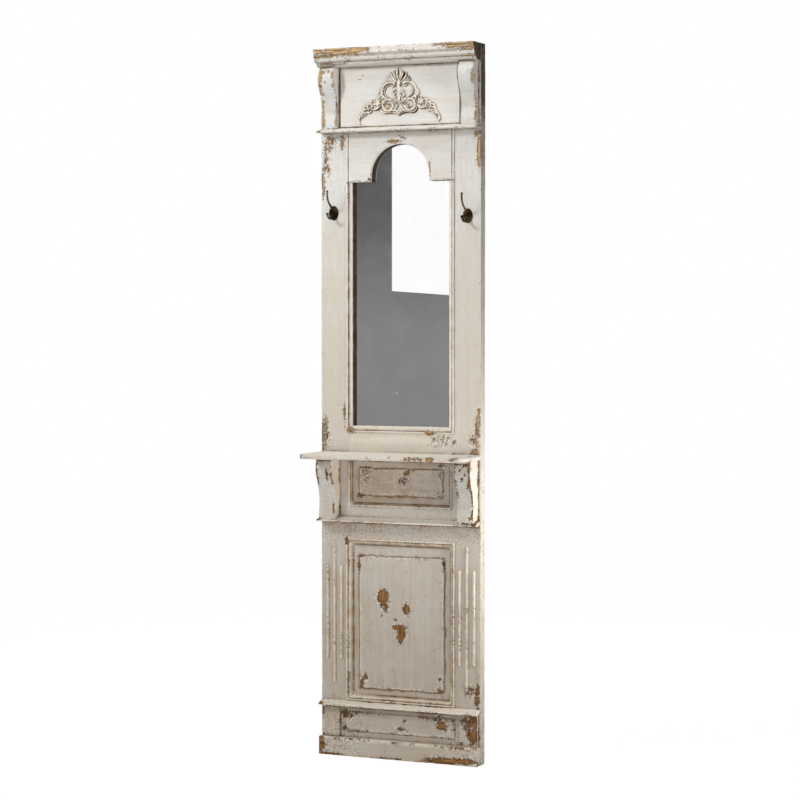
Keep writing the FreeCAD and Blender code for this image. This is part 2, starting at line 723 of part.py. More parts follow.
def clip(place, reach):
    """Z-shaped clip: a foot on the frame, a wall past the glass and a tongue on the backing."""
    wall = CLIP_PLAY
    foot = HOLLOW
    tongue = BACKING_BACK
    points = [
        (-CLIP_TONGUE, tongue),
        (-CLIP_TONGUE, tongue - CLIP_SHEET),
        (wall + CLIP_SHEET, tongue - CLIP_SHEET),
        (wall + CLIP_SHEET, foot - CLIP_SHEET),
        (wall + CLIP_SHEET + CLIP_FOOT, foot - CLIP_SHEET),
        (wall + CLIP_SHEET + CLIP_FOOT, foot),
        (wall, foot),
        (wall, tongue),
    ]
    corners = [place(a, out) for a, out in points]
    return Part.Face(Part.makePolygon(corners + corners[:1])).extrude(reach)


def make_clips():
    """Clips round the glass, bored for their screws."""
    half = CLIP_WIDTH / 2
    clips = []
    for side in (LEFT, RIGHT):
        for z in side_clip_heights():
            clips.append(
                clip(lambda a, out: V(side * (GLASS_X + a), -out, z - half), V(0, 0, CLIP_WIDTH)))
    for end, edge in ((-1, GLASS_Z), (1, GLASS_TOP)):
        for x in end_clip_places():
            clips.append(
                clip(lambda a, out: V(x - half, -out, edge + end * a), V(CLIP_WIDTH, 0, 0)))
    holes = [rod(x, 0, HOLLOW, z, SCREW_RADIUS + SCREW_PLAY) for x, z in clip_screw_places()]
    return Part.makeCompound([c.cut(Part.makeCompound(holes)).Solids[0] for c in clips])


def clip_screw_places():
    """Screw places of all the clips."""
    sides = [(side * x, z) for side in (LEFT, RIGHT) for x, z in side_clip_screws()]
    return sides + end_clip_screws(-1) + end_clip_screws(1)


# Screws

def screw(x, z, head_out, toward, bite, radius, head_radius):
    """Screw whose head seats at a distance from the wall; toward is 1 to point away from the wall."""
    axis = V(0, -toward, 0)
    seat = V(x, -head_out, z)
    shank = Part.makeCylinder(radius, bite, seat, axis)
    head = Part.makeCylinder(head_radius, SCREW_HEAD_HEIGHT, seat - axis * SCREW_HEAD_HEIGHT, axis)
    return fused([head, shank])


def make_clip_screws():
    """One screw for each clip."""
    return Part.makeCompound([
        screw(x, z, HOLLOW - CLIP_SHEET, 1, THIN_SCREW_BITE, SCREW_RADIUS, SCREW_HEAD_RADIUS)
        for x, z in clip_screw_places()
    ])


def shelf_screw_places():
    """Screws that hold the shelf, from behind the sill rail."""
    last = OPENING_X - SHELF_SCREW_INSET
    z = SHELF_Z + SHELF_THICKNESS / 2
    return [(last * (2 * i / (SHELF_SCREWS - 1) - 1), z) for i in range(SHELF_SCREWS)]


def make_shelf_screws():
    """Long screws from the hollow through the sill rail into the shelf."""
    return Part.makeCompound([
        screw(x, z, HOLLOW, 1, SHELF_SCREW_LENGTH, SHELF_SCREW_RADIUS, SHELF_SCREW_HEAD_RADIUS)
        for x, z in shelf_screw_places()
    ])


# Coat hooks

def hook_z(side):
    """Height of a hook's plate."""
    return UPPER_LEDGE_Z - (LEFT_HOOK_DROP if side == LEFT else RIGHT_HOOK_DROP)


def hook_screw_places(side):
    """Screw places of a hook, drawn on the right side."""
    return [(HOOK_X - HOOK_SCREW_OFFSET, hook_z(side)), (HOOK_X + HOOK_SCREW_OFFSET, hook_z(side))]


def arm(x, z, start_out, start_z, run, angle, bend, end_angle, radius, knob):
    """Round arm: a straight run out of the plate, then a bend upwards to a knob."""
    heading = math.radians(angle)
    last = math.radians(end_angle)

    def place(out, height):
        return V(x, -BODY_DEPTH - out, z + height)

    def on_bend(turn):
        return (
            corner[0] + bend * (math.sin(turn) - math.sin(heading)),
            corner[1] + bend * (math.cos(heading) - math.cos(turn)),
        )

    corner = (start_out + run * math.cos(heading), start_z + run * math.sin(heading))
    end = on_bend(last)
    path = Part.Wire([
        Part.LineSegment(place(start_out, start_z), place(*corner)).toShape(),
        Part.Arc(place(*corner), place(*on_bend((heading + last) / 2)), place(*end)).toShape(),
    ])
    section = Part.Circle(place(start_out, start_z), V(0, -math.cos(heading), math.sin(heading)), radius)
    tube = path.makePipeShell([Part.Wire([section.toShape()])], True, False)
    return [tube, Part.makeSphere(knob, place(*end))]


def make_hook(side):
    """Cast hook: oval plate and two arms in one piece, bored for its screws."""
    z = hook_z(side)
    major = HOOK_PLATE_HEIGHT / 2
    minor = HOOK_PLATE_WIDTH / 2
    centre = V(HOOK_X, -BODY_DEPTH, z)
    oval = Part.Ellipse(centre + V(0, 0, major), centre + V(minor, 0, 0), centre)
    base = Part.Face(Part.Wire([oval.toShape()])).extrude(V(0, -HOOK_PLATE_THICKNESS, 0))
    base = base.makeFillet(HOOK_PLATE_ROUND, front_edges(base, BODY_DEPTH + HOOK_PLATE_THICKNESS))
    root = HOOK_PLATE_THICKNESS / 2
    arms = arm(
        HOOK_X, z, root, UPPER_ARM_RISE, UPPER_ARM_RUN, UPPER_ARM_ANGLE, UPPER_ARM_BEND,
        UPPER_ARM_END_ANGLE, UPPER_ARM_RADIUS, UPPER_KNOB_RADIUS)
    arms += arm(
        HOOK_X, z, root, -LOWER_ARM_DROP, LOWER_ARM_RUN, LOWER_ARM_ANGLE, LOWER_ARM_BEND,
        LOWER_ARM_END_ANGLE, LOWER_ARM_RADIUS, LOWER_KNOB_RADIUS)
    front = BODY_DEPTH + HOOK_PLATE_THICKNESS
    hole_radius = SCREW_RADIUS + SCREW_PLAY
    holes = [rod(x, BODY_DEPTH, front, hz, hole_radius) for x, hz in hook_screw_places(side)]
    return mirrored(fused([base] + arms).cut(Part.makeCompound(holes)), side)


def make_hook_screws():
    """Two screws in each hook's plate."""
    seat = BODY_DEPTH + HOOK_PLATE_THICKNESS
    screws = []
    for side in (LEFT, RIGHT):
        for x, z in hook_screw_places(side):
            bite = HOOK_PLATE_THICKNESS + HOOK_SCREW_BITE
            screws.append(screw(side * x, z, seat, -1, bite, SCREW_RADIUS, SCREW_HEAD_RADIUS))
    return Part.makeCompound(screws)


# Hangers on the back

def strap_screws():
    """Screw places of both hangers' straps."""
    return [
        (side * HANGER_X, HANGER_Z - STRAP_SCREW_FIRST - STRAP_SCREW_PITCH * i)
        for side in (LEFT, RIGHT) for i in range(2)
    ]


def make_strap(side):
    """Steel strap with a rolled barrel at its top for the ring."""
    half = STRAP_WIDTH / 2
    face = HOLLOW - STRAP_THICKNESS
    leaf_plate = block(HANGER_X - half, HANGER_X + half, face, HOLLOW, HANGER_Z - STRAP_LENGTH, HANGER_Z)
    axis = V(HANGER_X - half, -PIVOT_OUT, HANGER_Z)
    barrel = Part.makeCylinder(BARREL_RADIUS, STRAP_WIDTH, axis, V(1, 0, 0))
    bore = Part.makeCylinder(RING_WIRE_RADIUS + RING_PLAY, STRAP_WIDTH, axis, V(1, 0, 0))
    holes = [rod(x, 0, HOLLOW, z, SCREW_RADIUS + SCREW_PLAY) for x, z in strap_screws() if x > 0]
    return mirrored(fused([leaf_plate, barrel]).cut(Part.makeCompound(holes + [bore])), side)


def make_ring(side):
    """D-shaped ring that hangs from its straight bar."""
    half = RING_HALF_WIDTH
    bend = BARREL_RADIUS

    def place(x, z):
        return V(HANGER_X + x, -PIVOT_OUT, HANGER_Z + z)

    corner = bend * (1 - math.sqrt(0.5))
    low = -RING_DROP
    path = Part.Wire([
        Part.LineSegment(place(-half + bend, 0), place(half - bend, 0)).toShape(),
        Part.Arc(place(half - bend, 0), place(half - corner, -corner), place(half, -bend)).toShape(),
        Part.LineSegment(place(half, -bend), place(half, low)).toShape(),
        Part.Arc(place(half, low), place(0, low - half), place(-half, low)).toShape(),
        Part.LineSegment(place(-half, low), place(-half, -bend)).toShape(),
        Part.Arc(place(-half, -bend), place(-half + corner, -corner), place(-half + bend, 0)).toShape(),
    ])
    section = Part.Circle(place(-half + bend, 0), V(1, 0, 0), RING_WIRE_RADIUS)
    ring = path.makePipeShell([Part.Wire([section.toShape()])], True, False)
    return mirrored(ring, side)


def make_hanger_screws():
    """Two screws in each strap."""
    return Part.makeCompound([
        screw(x, z, HOLLOW - STRAP_THICKNESS, 1, THIN_SCREW_BITE, SCREW_RADIUS, SCREW_HEAD_RADIUS)
        for x, z in strap_screws()
    ])


def all_pieces():
    """Every piece of the panel by its node's name."""
    pieces = {}
    upper_ledge = make_ledge(UPPER_LEDGE_Z, UPPER_LEDGE_OUT)
    middle_ledge = make_ledge(MIDDLE_LEDGE_Z, MIDDLE_LEDGE_OUT)
    for side, name in SIDE_NAMES.items():
        pieces[f"{name}_stile"] = make_stile(side)
        pieces[f"upper_corbel_{name}"] = make_corbel(
            side, UPPER_LEDGE_TOP, CORNICE_Z, UPPER_CORBEL_FACE, upper_ledge)
        pieces[f"lower_corbel_{name}"] = make_corbel(
            side, MIDDLE_LEDGE_TOP, SHELF_Z, LOWER_CORBEL_FACE, middle_ledge)
        pieces[f"base_block_{name}"] = make_base_block(side)
        pieces[f"coat_hook_{name}"] = make_hook(side)
        pieces[f"hanger_strap_{name}"] = make_strap(side)
        pieces[f"hanger_ring_{name}"] = make_ring(side)
        for place, step in (("inner", -1), ("middle", 0), ("outer", 1)):
            rise, gap = LONG_REED_RISE, LONG_REED_GAP
            if step:
                rise, gap = SHORT_REED_RISE, SHORT_REED_GAP
            x = side * (HALF_WIDTH - REED_INSET + step * REED_PITCH)
            z = LOWER_LEDGE_TOP + rise
            pieces[f"reed_{name}_{place}"] = make_reed(x, z, MIDDLE_LEDGE_Z - gap - z)
    pieces["frieze_rail"] = make_frieze_rail()
    pieces["arch_board"] = make_arch_board()
    pieces["sill_rail"] = make_sill_rail()
    pieces["lock_rail"] = make_rail(TALL_OPENING_TOP, SMALL_OPENING_Z)
    pieces["bottom_rail"] = make_rail(0, TALL_OPENING_Z)
    pieces.update(make_battens())
    pieces.update(make_mouldings())
    pieces["tall_panel"] = make_tall_panel()
    pieces["small_panel"] = make_small_panel()
    pieces["base_panel"] = make_base_panel()
    pieces["cornice"] = make_cornice()
    pieces["upper_ledge"] = upper_ledge
    pieces["middle_ledge"] = middle_ledge
    pieces["lower_ledge"] = make_ledge(LOWER_LEDGE_Z, LOWER_LEDGE_OUT)
    pieces["shelf"] = make_shelf()
    pieces["frieze_board"] = block(
        -FRIEZE_X, FRIEZE_X, BODY_DEPTH, FRIEZE_FRONT, UPPER_LEDGE_TOP, CORNICE_Z)
    pieces["carved_ornament"] = make_ornament()
    pieces["plinth"] = make_plinth()
    pieces["mirror_glass"] = block(-GLASS_X, GLASS_X, GLASS_BACK, HOLLOW, GLASS_Z, GLASS_TOP)
    pieces["mirror_backing"] = block(-GLASS_X, GLASS_X, BACKING_BACK, GLASS_BACK, GLASS_Z, GLASS_TOP)
    pieces["mirror_clips"] = make_clips()
    pieces["mirror_clip_screws"] = make_clip_screws()
    pieces["shelf_screws"] = make_shelf_screws()
    pieces["hook_screws"] = make_hook_screws()
    pieces["hanger_screws"] = make_hanger_screws()
    return pieces


def main():
    """Write one STEP file for each piece."""
    os.makedirs("parts", exist_ok=True)
    for name, shape in all_pieces().items():
        shape.exportStep(f"parts/{name}.step")
        print(name, len(shape.Solids), round(shape.Volume), shape.isValid())


main()
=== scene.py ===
import logging
import math
from dataclasses import dataclass, field
from enum import Enum
from typing import Any, Callable, Sequence

import bmesh
import bpy
import numpy as np
from mathutils import Euler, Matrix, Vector
from numpy.typing import NDArray


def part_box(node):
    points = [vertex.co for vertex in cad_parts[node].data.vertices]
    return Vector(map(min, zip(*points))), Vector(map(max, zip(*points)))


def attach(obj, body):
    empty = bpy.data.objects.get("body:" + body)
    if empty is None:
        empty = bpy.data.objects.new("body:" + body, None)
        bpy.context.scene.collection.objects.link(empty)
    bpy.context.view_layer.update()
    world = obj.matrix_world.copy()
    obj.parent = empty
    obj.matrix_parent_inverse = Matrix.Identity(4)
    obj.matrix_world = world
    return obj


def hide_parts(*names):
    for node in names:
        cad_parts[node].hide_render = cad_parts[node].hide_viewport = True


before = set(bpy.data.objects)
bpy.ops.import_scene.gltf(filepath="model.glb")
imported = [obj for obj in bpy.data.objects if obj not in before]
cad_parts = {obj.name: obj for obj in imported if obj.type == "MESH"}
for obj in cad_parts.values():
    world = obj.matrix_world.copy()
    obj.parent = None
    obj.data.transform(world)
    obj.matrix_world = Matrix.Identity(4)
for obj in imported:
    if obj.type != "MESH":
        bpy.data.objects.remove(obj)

# Looks of the tall wall mirror. Lengths are millimetres in the frame of the CAD and become metres in
# Piece.make. "out" is a distance from the wall, so a point that stands out by d lies at Y = -d.
LOG = logging.getLogger("wall_mirror")
MM = 0.001
# Side of the photograph in pixels
PICTURE = 800
# Front of the frame and back of its rebates, as distances from the wall
BODY = 31.0
HOLLOW = 13.0
# Half width of the mirror, and of the openings between its stiles
HALF = 245.5
OPENING = 158.0
# Body that all but the rings belong to
PANEL = "panel"
# Degrees from which an edge is drawn sharp
SHARP = 48.0
# Height at which a painted shadow starts under each ledge, and how far it reaches
LEDGES = ((1950.0, 5.0), (841.0, 15.0), (664.5, 15.0), (137.6, 14.0))
Array = NDArray[np.float64]
# Large odd numbers that scatter the corners of a noise lattice
LATTICE_PRIMES = np.array([374761393, 668265263, 2147483647])


class Grain(Enum):
    """Direction of a board's grain, as the stretch of its pattern along X, Y and Z."""

    UPRIGHT = (1.0, 1.0, 0.05)
    LEVEL = (0.05, 1.0, 1.0)


class Side(Enum):
    """Left or right half, as the sign of X."""

    LEFT = -1
    RIGHT = 1

    @property
    def word(self) -> str:
        """Name of the side as the CAD nodes write it."""
        return self.name.lower()


@dataclass(frozen=True)
class Chip:
    """A place where the paint has come off."""

    x: float
    z: float
    half_width: float
    half_height: float
    loss: float = 1.0


# Worn places from the top down: cornice, corbels, frieze, arch, stiles, shelf, panels, base
CHIPS: tuple[Chip, ...] = tuple(Chip(*row) for row in (
    (-165, 1992, 95, 12), (-215, 1976, 40, 4, 0.6), (190, 1993, 55, 9, 0.95), (222, 1982, 30, 6, 0.7),
    (228, 1962, 22, 4, 0.7), (-190, 1956, 50, 4, 0.6), (-233, 1925, 6, 22), (-226, 1935, 7, 6),
    (-232, 1890, 5, 18), (-229, 1912, 5, 5), (-234, 1840, 4, 24), (-232, 1798, 7, 14), (-191, 1800, 3, 20),
    (-192, 1930, 3, 12, 0.8), (236, 1905, 6, 14), (238, 1800, 5, 16), (189, 1935, 2, 14),
    (190, 1905, 2, 8, 0.9), (189, 1870, 2, 22, 0.85), (189, 1835, 2, 12, 0.85), (190, 1800, 3, 14),
    (236, 1855, 3, 14, 0.8), (-228, 1875, 4, 6, 0.8), (-224, 1922, 3, 4, 0.9), (-219, 1936, 4, 4, 0.8),
    (-227, 1855, 3, 5, 0.8), (-230, 1820, 3, 6, 0.8), (-205, 1938, 6, 4, 0.7), (-214, 1908, 3, 3, 0.7),
    (-112, 1925, 2, 2, 0.8), (-121, 1914, 3, 2, 0.8), (-43, 1842, 4, 4, 0.72), (-29, 1839, 6, 5, 0.8),
    (-5, 1843, 4, 3, 0.75), (16, 1843, 7, 5, 0.8), (30, 1836, 6, 5, 0.75), (8, 1894, 5, 4, 0.75),
    (-238, 1772, 8, 5), (-226, 1736, 16, 30, 0.38), (-206, 1742, 12, 16, 0.42), (-180, 1742, 6, 22, 0.5),
    (-232, 1696, 10, 34, 0.38), (-240, 1640, 5, 32, 0.75), (-226, 1664, 8, 24, 0.4),
    (-238, 1600, 5, 20, 0.7), (241, 1705, 7, 44), (237, 1752, 10, 8, 0.7), (-22, 1738, 20, 5, 0.8),
    (6, 1748, 5, 3, 0.7), (18, 1745, 4, 3, 0.6), (-2, 1754, 4, 3, 0.6), (-90, 1634, 7, 5, 0.85),
    (92, 1660, 3, 22, 0.8), (-235, 915, 12, 48, 0.46), (-242, 905, 4, 50, 0.62), (-172, 968, 4, 36, 0.55),
    (-154, 926, 11, 7, 0.8), (92, 923, 14, 5), (125, 902, 34, 18, 0.28), (104, 906, 5, 4, 0.7),
    (166, 898, 6, 8, 0.6), (140, 894, 4, 3, 0.6), (118, 890, 3, 3, 0.6), (150, 912, 4, 3, 0.5),
    (236, 935, 10, 46, 0.46), (226, 908, 14, 14, 0.5), (228, 872, 9, 7, 0.8), (240, 980, 4, 20, 0.7),
    (105, 857, 38, 7, 0.42), (158, 857, 13, 8, 0.9), (-243, 857, 8, 8), (225, 857, 12, 6, 0.5),
    (20, 808, 8, 7), (8, 786, 20, 12, 0.3), (-108, 800, 24, 28, 0.3), (126, 834, 22, 8, 0.35),
    (122, 806, 6, 12, 0.42), (120, 748, 12, 9, 0.45), (-126, 742, 12, 9, 0.42), (-236, 806, 5, 42, 0.95),
    (-204, 806, 4, 26, 0.7), (-190, 706, 4, 16, 0.9), (235, 818, 4, 32), (232, 785, 4, 20, 0.9),
    (235, 752, 3, 20, 0.9), (224, 838, 9, 5, 0.8), (222, 812, 3, 7, 0.8), (212, 800, 3, 5, 0.7),
    (225, 778, 4, 7, 0.8), (207, 824, 3, 4, 0.7), (214, 832, 4, 3, 0.7), (236, 700, 4, 18, 0.9),
    (228, 690, 4, 6, 0.7), (240, 676, 8, 6, 0.9), (-238, 676, 10, 6, 0.9), (-60, 567, 62, 5, 0.15),
    (62, 567, 60, 5, 0.15), (-166, 612, 7, 12, 0.7), (-126, 568, 18, 9, 0.42), (-132, 540, 6, 34, 0.42),
    (130, 555, 6, 26, 0.42), (-55, 452, 15, 23), (-48, 425, 8, 12, 0.8), (16, 424, 11, 15, 0.95),
    (-8, 370, 22, 9, 0.9), (-2, 350, 12, 22, 1.0), (-60, 404, 3, 7, 0.8), (-18, 392, 4, 4, 0.8),
    (-112, 226, 7, 10, 0.95), (-124, 208, 6, 14, 0.75), (118, 232, 4, 6, 0.75), (120, 196, 10, 12, 0.6),
    (-240, 148, 10, 5), (-238, 122, 6, 10, 0.8), (-166, 118, 22, 12, 0.6), (16, 110, 8, 4, 0.9),
    (8, 86, 18, 5, 0.62), (132, 104, 15, 14, 0.95), (118, 122, 16, 8, 0.62), (-172, 76, 10, 9, 0.8),
    (212, 120, 30, 24, 0.5), (230, 118, 12, 24, 0.62), (226, 84, 18, 24, 0.88), (236, 190, 8, 46, 0.6),
    (214, 210, 18, 14, 0.45), (-236, 30, 12, 24, 0.82), (-242, 40, 5, 14), (-205, 3, 40, 4, 0.9),
    (150, 10, 70, 9, 0.85), (205, 12, 36, 10, 0.75), (-20, 3, 40, 3, 0.7), (170, 48, 40, 6, 0.5),
    (190, 60, 6, 6, 0.8),
))


# Numbers and surfaces

def linear(colour: str) -> tuple[float, float, float, float]:
    """Linear colour of an sRGB hex string.

    Args:
        colour: Six hex digits after a hash sign.

    Returns:
        Red, green, blue and alpha.
    """
    parts = np.array([int(colour[i:i + 2], 16) for i in (1, 3, 5)]) / 255.0
    red, green, blue = np.where(parts <= 0.04045, parts / 12.92, ((parts + 0.055) / 1.055) ** 2.4)
    return float(red), float(green), float(blue), 1.0


def lattice_noise(points: Array, cell: float, seed: int) -> Array:
    """Smooth noise: random values on a cubic lattice, blended with eased weights between its corners.

    Args:
        points: Places as rows of x, y and z.
        cell: Distance between lattice corners.
        seed: Number that picks the pattern.

    Returns:
        One value from 0 to 1 for each place.
    """
    scaled = points / cell
    base = np.floor(scaled).astype(np.int64)
    part = scaled - base
    part = part * part * (3.0 - 2.0 * part)
    corners = np.array(np.meshgrid([0, 1], [0, 1], [0, 1], indexing="ij")).reshape(3, -1).T
    spots = base[:, None, :] + corners[None, :, :]
    mixed = (spots * LATTICE_PRIMES).sum(axis=-1) + seed * 974711
    mixed = (mixed ^ (mixed >> 13)) * 1274126177
    value = ((mixed ^ (mixed >> 16)) & 0xFFFF) / 65535.0
    weights = np.where(corners[None, :, :] == 1, part[:, None, :], 1.0 - part[:, None, :]).prod(axis=2)
    return (value * weights).sum(axis=1)


def ramp(value: Array, low: float, high: float) -> Array:
    """Eased step from 0 at low to 1 at high.

    Args:
        value: Numbers to map.
        low: Value that gives 0.
        high: Value that gives 1.

    Returns:
        Numbers from 0 to 1.
    """
    part = np.clip((value - low) / (high - low), 0.0, 1.0)
    return part * part * (3.0 - 2.0 * part)


def divided(points: Array, step: float) -> Array:
    """Closed line through the same corners with points no further apart than a step.

    Args:
        points: Corners as rows.
        step: Longest distance between two points.

    Returns:
        Points along the line, corners included.
    """
    sides = np.roll(points, -1, axis=0) - points
    counts = np.maximum(1, np.ceil(np.linalg.norm(sides, axis=1) / step)).astype(int)
    first = np.repeat(np.cumsum(counts) - counts, counts)
    part = (np.arange(counts.sum()) - first) / np.repeat(counts, counts)
    return np.repeat(points, counts, axis=0) + part[:, None] * np.repeat(sides, counts, axis=0)


def eased_outline(corners: Sequence[tuple[float, float, float]], step: float) -> Array:
    """Closed outline whose corners are replaced by parabolas that leave each side a given length away.

    Args:
        corners: Corners as (across, up, length of the rounding).
        step: Longest distance between two points.

    Returns:
        Points along the outline as rows of two numbers.
    """
    rows = np.array(corners, dtype=float)
    spot, reach = rows[:, :2], rows[:, 2:]
    before = np.roll(spot, 1, axis=0) - spot
    after = np.roll(spot, -1, axis=0) - spot
    start = spot + before / np.linalg.norm(before, axis=1, keepdims=True) * reach
    end = spot + after / np.linalg.norm(after, axis=1, keepdims=True) * reach
    part = np.linspace(0.0, 1.0, 6)[None, :, None]
    curve = (1 - part) ** 2 * start[:, None] + part ** 2 * end[:, None]
    line = (curve + 2 * part * (1 - part) * spot[:, None]).reshape(-1, 2)
    keep = np.linalg.norm(line - np.roll(line, 1, axis=0), axis=1) > 1e-6
    return divided(line[keep], step)


@dataclass
class Surface:
    """A mesh in millimetres: points, four-sided faces and flat caps."""

    points: Array
    quads: NDArray[np.int64]
    caps: list[list[int]] = field(default_factory=list)

    @staticmethod
    def joined(parts: Sequence["Surface"]) -> "Surface":
        """One surface from several.

        Args:
            parts: Surfaces to put together.

        Returns:
            A surface with all their points and faces.
        """
        counts = [len(part.points) for part in parts]
        starts = np.cumsum([0] + counts[:-1])
        caps = [[int(i + at) for i in cap] for part, at in zip(parts, starts) for cap in part.caps]
        return Surface(
            np.vstack([part.points for part in parts]),
            np.vstack([part.quads + at for part, at in zip(parts, starts)]),
            caps,
        )

    def faces(self) -> tuple[Array, list[list[int]]]:
        """Points with doubles merged, and the faces between them.

        Returns:
            The points and the faces, without faces that have lost a side.
        """
        _, first, where = np.unique(
            np.round(self.points, 3), axis=0, return_index=True, return_inverse=True)
        where = where.reshape(-1)
        quads = where[self.quads]
        sides = np.roll(quads, -1, axis=1) != quads
        whole = quads[sides.all(axis=1)].tolist()
        short = [list(dict.fromkeys(row)) for row in quads[~sides.all(axis=1)].tolist()]
        caps = [list(dict.fromkeys(where[cap].tolist())) for cap in self.caps]
        faces = whole + [row for row in short + caps if len(row) > 2]
        return self.points[first], faces


def grid_quads(rows: int, columns: int, wrap: bool = False) -> NDArray[np.int64]:
    """Faces between the points of a grid.

    Args:
        rows: Number of rows of points.
        columns: Number of points in a row.
        wrap: Whether the last column joins the first.

    Returns:
        Rows of four point numbers.
    """
    across = np.arange(columns if wrap else columns - 1)
    low = np.arange(rows - 1)[:, None] * columns
    left = low + across
    right = low + (across + 1) % columns
    return np.stack([left, right, right + columns, left + columns], axis=-1).reshape(-1, 4)


def placed(x: Array | float, out: Array | float, z: Array | float) -> Array:
    """Points from places across, distances from the wall and heights, spread to one common shape."""
    return np.stack(np.broadcast_arrays(x, -out, z), axis=-1)


def sheet(points: Array) -> Surface:
    """Open surface through a grid of points.

    Args:
        points: Grid with rows, columns and three numbers each.

    Returns:
        The surface.
    """
    return Surface(points.reshape(-1, 3), grid_quads(*points.shape[:2]))


def loft(sections: Array) -> Surface:
    """Closed surface through a row of closed sections, capped at both ends.

    Args:
        sections: Sections, points in each, three numbers each.

    Returns:
        The surface.
    """
    rows, columns = sections.shape[:2]
    last = (rows - 1) * columns
    caps = [list(range(columns))[::-1], list(range(last, last + columns))]
    return Surface(sections.reshape(-1, 3), grid_quads(rows, columns, True), caps)


def edge_lines(low: float, high: float, radius: float, step: float) -> Array:
    """Grid lines across a board: close together over its rounded edges, a step apart between them.

    Args:
        low: First edge.
        high: Last edge.
        radius: Radius of the edges.
        step: Distance between lines.

    Returns:
        Line places from low to high.
    """
    turn = np.tan(np.linspace(0.0, math.pi / 4, 4)) * radius
    middle = np.linspace(low + radius, high - radius, max(2, int((high - low - 2 * radius) / step) + 1))
    return np.concatenate([(low + radius - turn)[:0:-1], middle, (high - radius + turn)[1:]])


def board(low: Array, high: Array, radius: float = 1.6, step: float = 3.2) -> Surface:
    """Board with rounded edges: every point of a box's skin goes to the inner box, then out by the radius.

    Args:
        low: Lowest corner.
        high: Highest corner.
        radius: Radius of the edges.
        step: Distance between grid lines.

    Returns:
        The closed surface.
    """
    radius = min(radius, 0.49 * float((high - low).min()))
    lines = [edge_lines(low[k], high[k], radius, step) for k in range(3)]
    parts = []
    for axis in range(3):
        one, two = (axis + 1) % 3, (axis + 2) % 3
        first, second = np.meshgrid(lines[one], lines[two], indexing="ij")
        for end in (low[axis], high[axis]):
            skin = np.empty(first.shape + (3,))
            skin[..., one], skin[..., two], skin[..., axis] = first, second, end
            core = np.clip(skin, low + radius, high - radius)
            away = skin - core
            parts.append(sheet(core + radius * away / np.linalg.norm(away, axis=-1, keepdims=True)))
    return Surface.joined(parts)


def level_moulding(outline: Array, x0: float, x1: float, radius: float = 1.5, step: float = 4.0) -> Surface:
    """Section carried along X; at both ends it draws in by a quarter circle, so the ends are eased.

    Args:
        outline: Closed section as rows of (out, height).
        x0: Left end.
        x1: Right end.
        radius: Radius of the ends.
        step: Distance between sections.

    Returns:
        The closed surface.
    """
    turn = np.linspace(0.0, math.pi / 2, 5)
    reach, inset = radius * (1 - np.cos(turn)), radius * (1 - np.sin(turn))
    middle = np.linspace(x0 + radius, x1 - radius, int((x1 - x0) / step))[1:-1]
    along = np.concatenate([x0 + reach, middle, (x1 - reach)[::-1]])
    drawn = np.concatenate([inset, np.zeros(len(middle)), inset[::-1]])
    chord = np.roll(outline, -1, axis=0) - np.roll(outline, 1, axis=0)
    area = np.sum(outline[:, 0] * np.roll(outline[:, 1], -1) - outline[:, 1] * np.roll(outline[:, 0], -1))
    normal = np.stack([chord[:, 1], -chord[:, 0]], axis=1) * np.sign(area)
    normal /= np.linalg.norm(normal, axis=1, keepdims=True) + 1e-9
    section = outline[None] - drawn[:, None, None] * normal[None]
    return loft(placed(along[:, None], section[..., 0], section[..., 1]))


def relief(x: Array, z: Array, out: Array, back: float) -> Surface:
    """Height field over a grid of X and Z, with walls down to a flat back.

    Args:
        x: Places of the columns.
        z: Places of the rows.
        out: Distance from the wall, rows by columns.
        back: Distance of the flat back from the wall.

    Returns:
        The closed surface.
    """
    across, up = np.meshgrid(np.pad(x, 1, mode="edge"), np.pad(z, 1, mode="edge"))
    depth = np.pad(out, 1, constant_values=back)
    surface = sheet(placed(across, depth, up))
    rows, columns = depth.shape
    number = np.arange(rows * columns).reshape(rows, columns)
    rim = np.concatenate([number[0], number[1:, -1], number[-1, -2::-1], number[-2:0:-1, 0]])
    surface.caps = [rim.tolist()]
    return surface


def tube(path: Array, radii: Array, across: Array, count: int) -> Surface:
    """Round bar along a path that lies in one plane: a circle of changing radius square to the path.

    Args:
        path: Centre points.
        radii: Radius at each point.
        across: Unit vector square to the path's plane.
        count: Points round the bar.

    Returns:
        The closed surface.
    """
    ahead = np.gradient(path, axis=0)
    ahead /= np.linalg.norm(ahead, axis=1, keepdims=True)
    normal = np.cross(ahead, across)
    turn = np.linspace(0.0, 2 * math.pi, count, endpoint=False)[None, :, None]
    circle = np.cos(turn) * normal[:, None, :] + np.sin(turn) * across[None, None, :]
    return loft(path[:, None, :] + radii[:, None, None] * circle)


def screw_head(x: float, z: float, seat: float, radius: float, height: float) -> Surface:
    """Domed head with a sunk slot: height over the seat falls with the square of the radius, less the slot.

    Args:
        x: Place across.
        z: Place up.
        seat: Distance of the seat from the wall.
        radius: Radius of the head.
        height: Height of the dome.

    Returns:
        The closed surface.
    """
    share = np.concatenate([np.linspace(0.0, 0.9, 10), [0.96, 1.0, 1.0]])
    turn = np.linspace(0.0, 2 * math.pi, 28, endpoint=False)
    ring, angle = np.meshgrid(share, turn, indexing="ij")
    across, up = ring * np.cos(angle), ring * np.sin(angle)
    slot = ramp(-np.abs(0.94 * across + 0.34 * up), -0.24, -0.1) * ramp(-ring, -1.0, -0.86)
    rise = height * (1.0 - 0.55 * ring ** 2) - 0.55 * height * slot
    rise[-1] = 0.0
    surface = loft(placed(x + radius * across, seat + rise, z + radius * up))
    surface.caps = surface.caps[1:]
    return surface


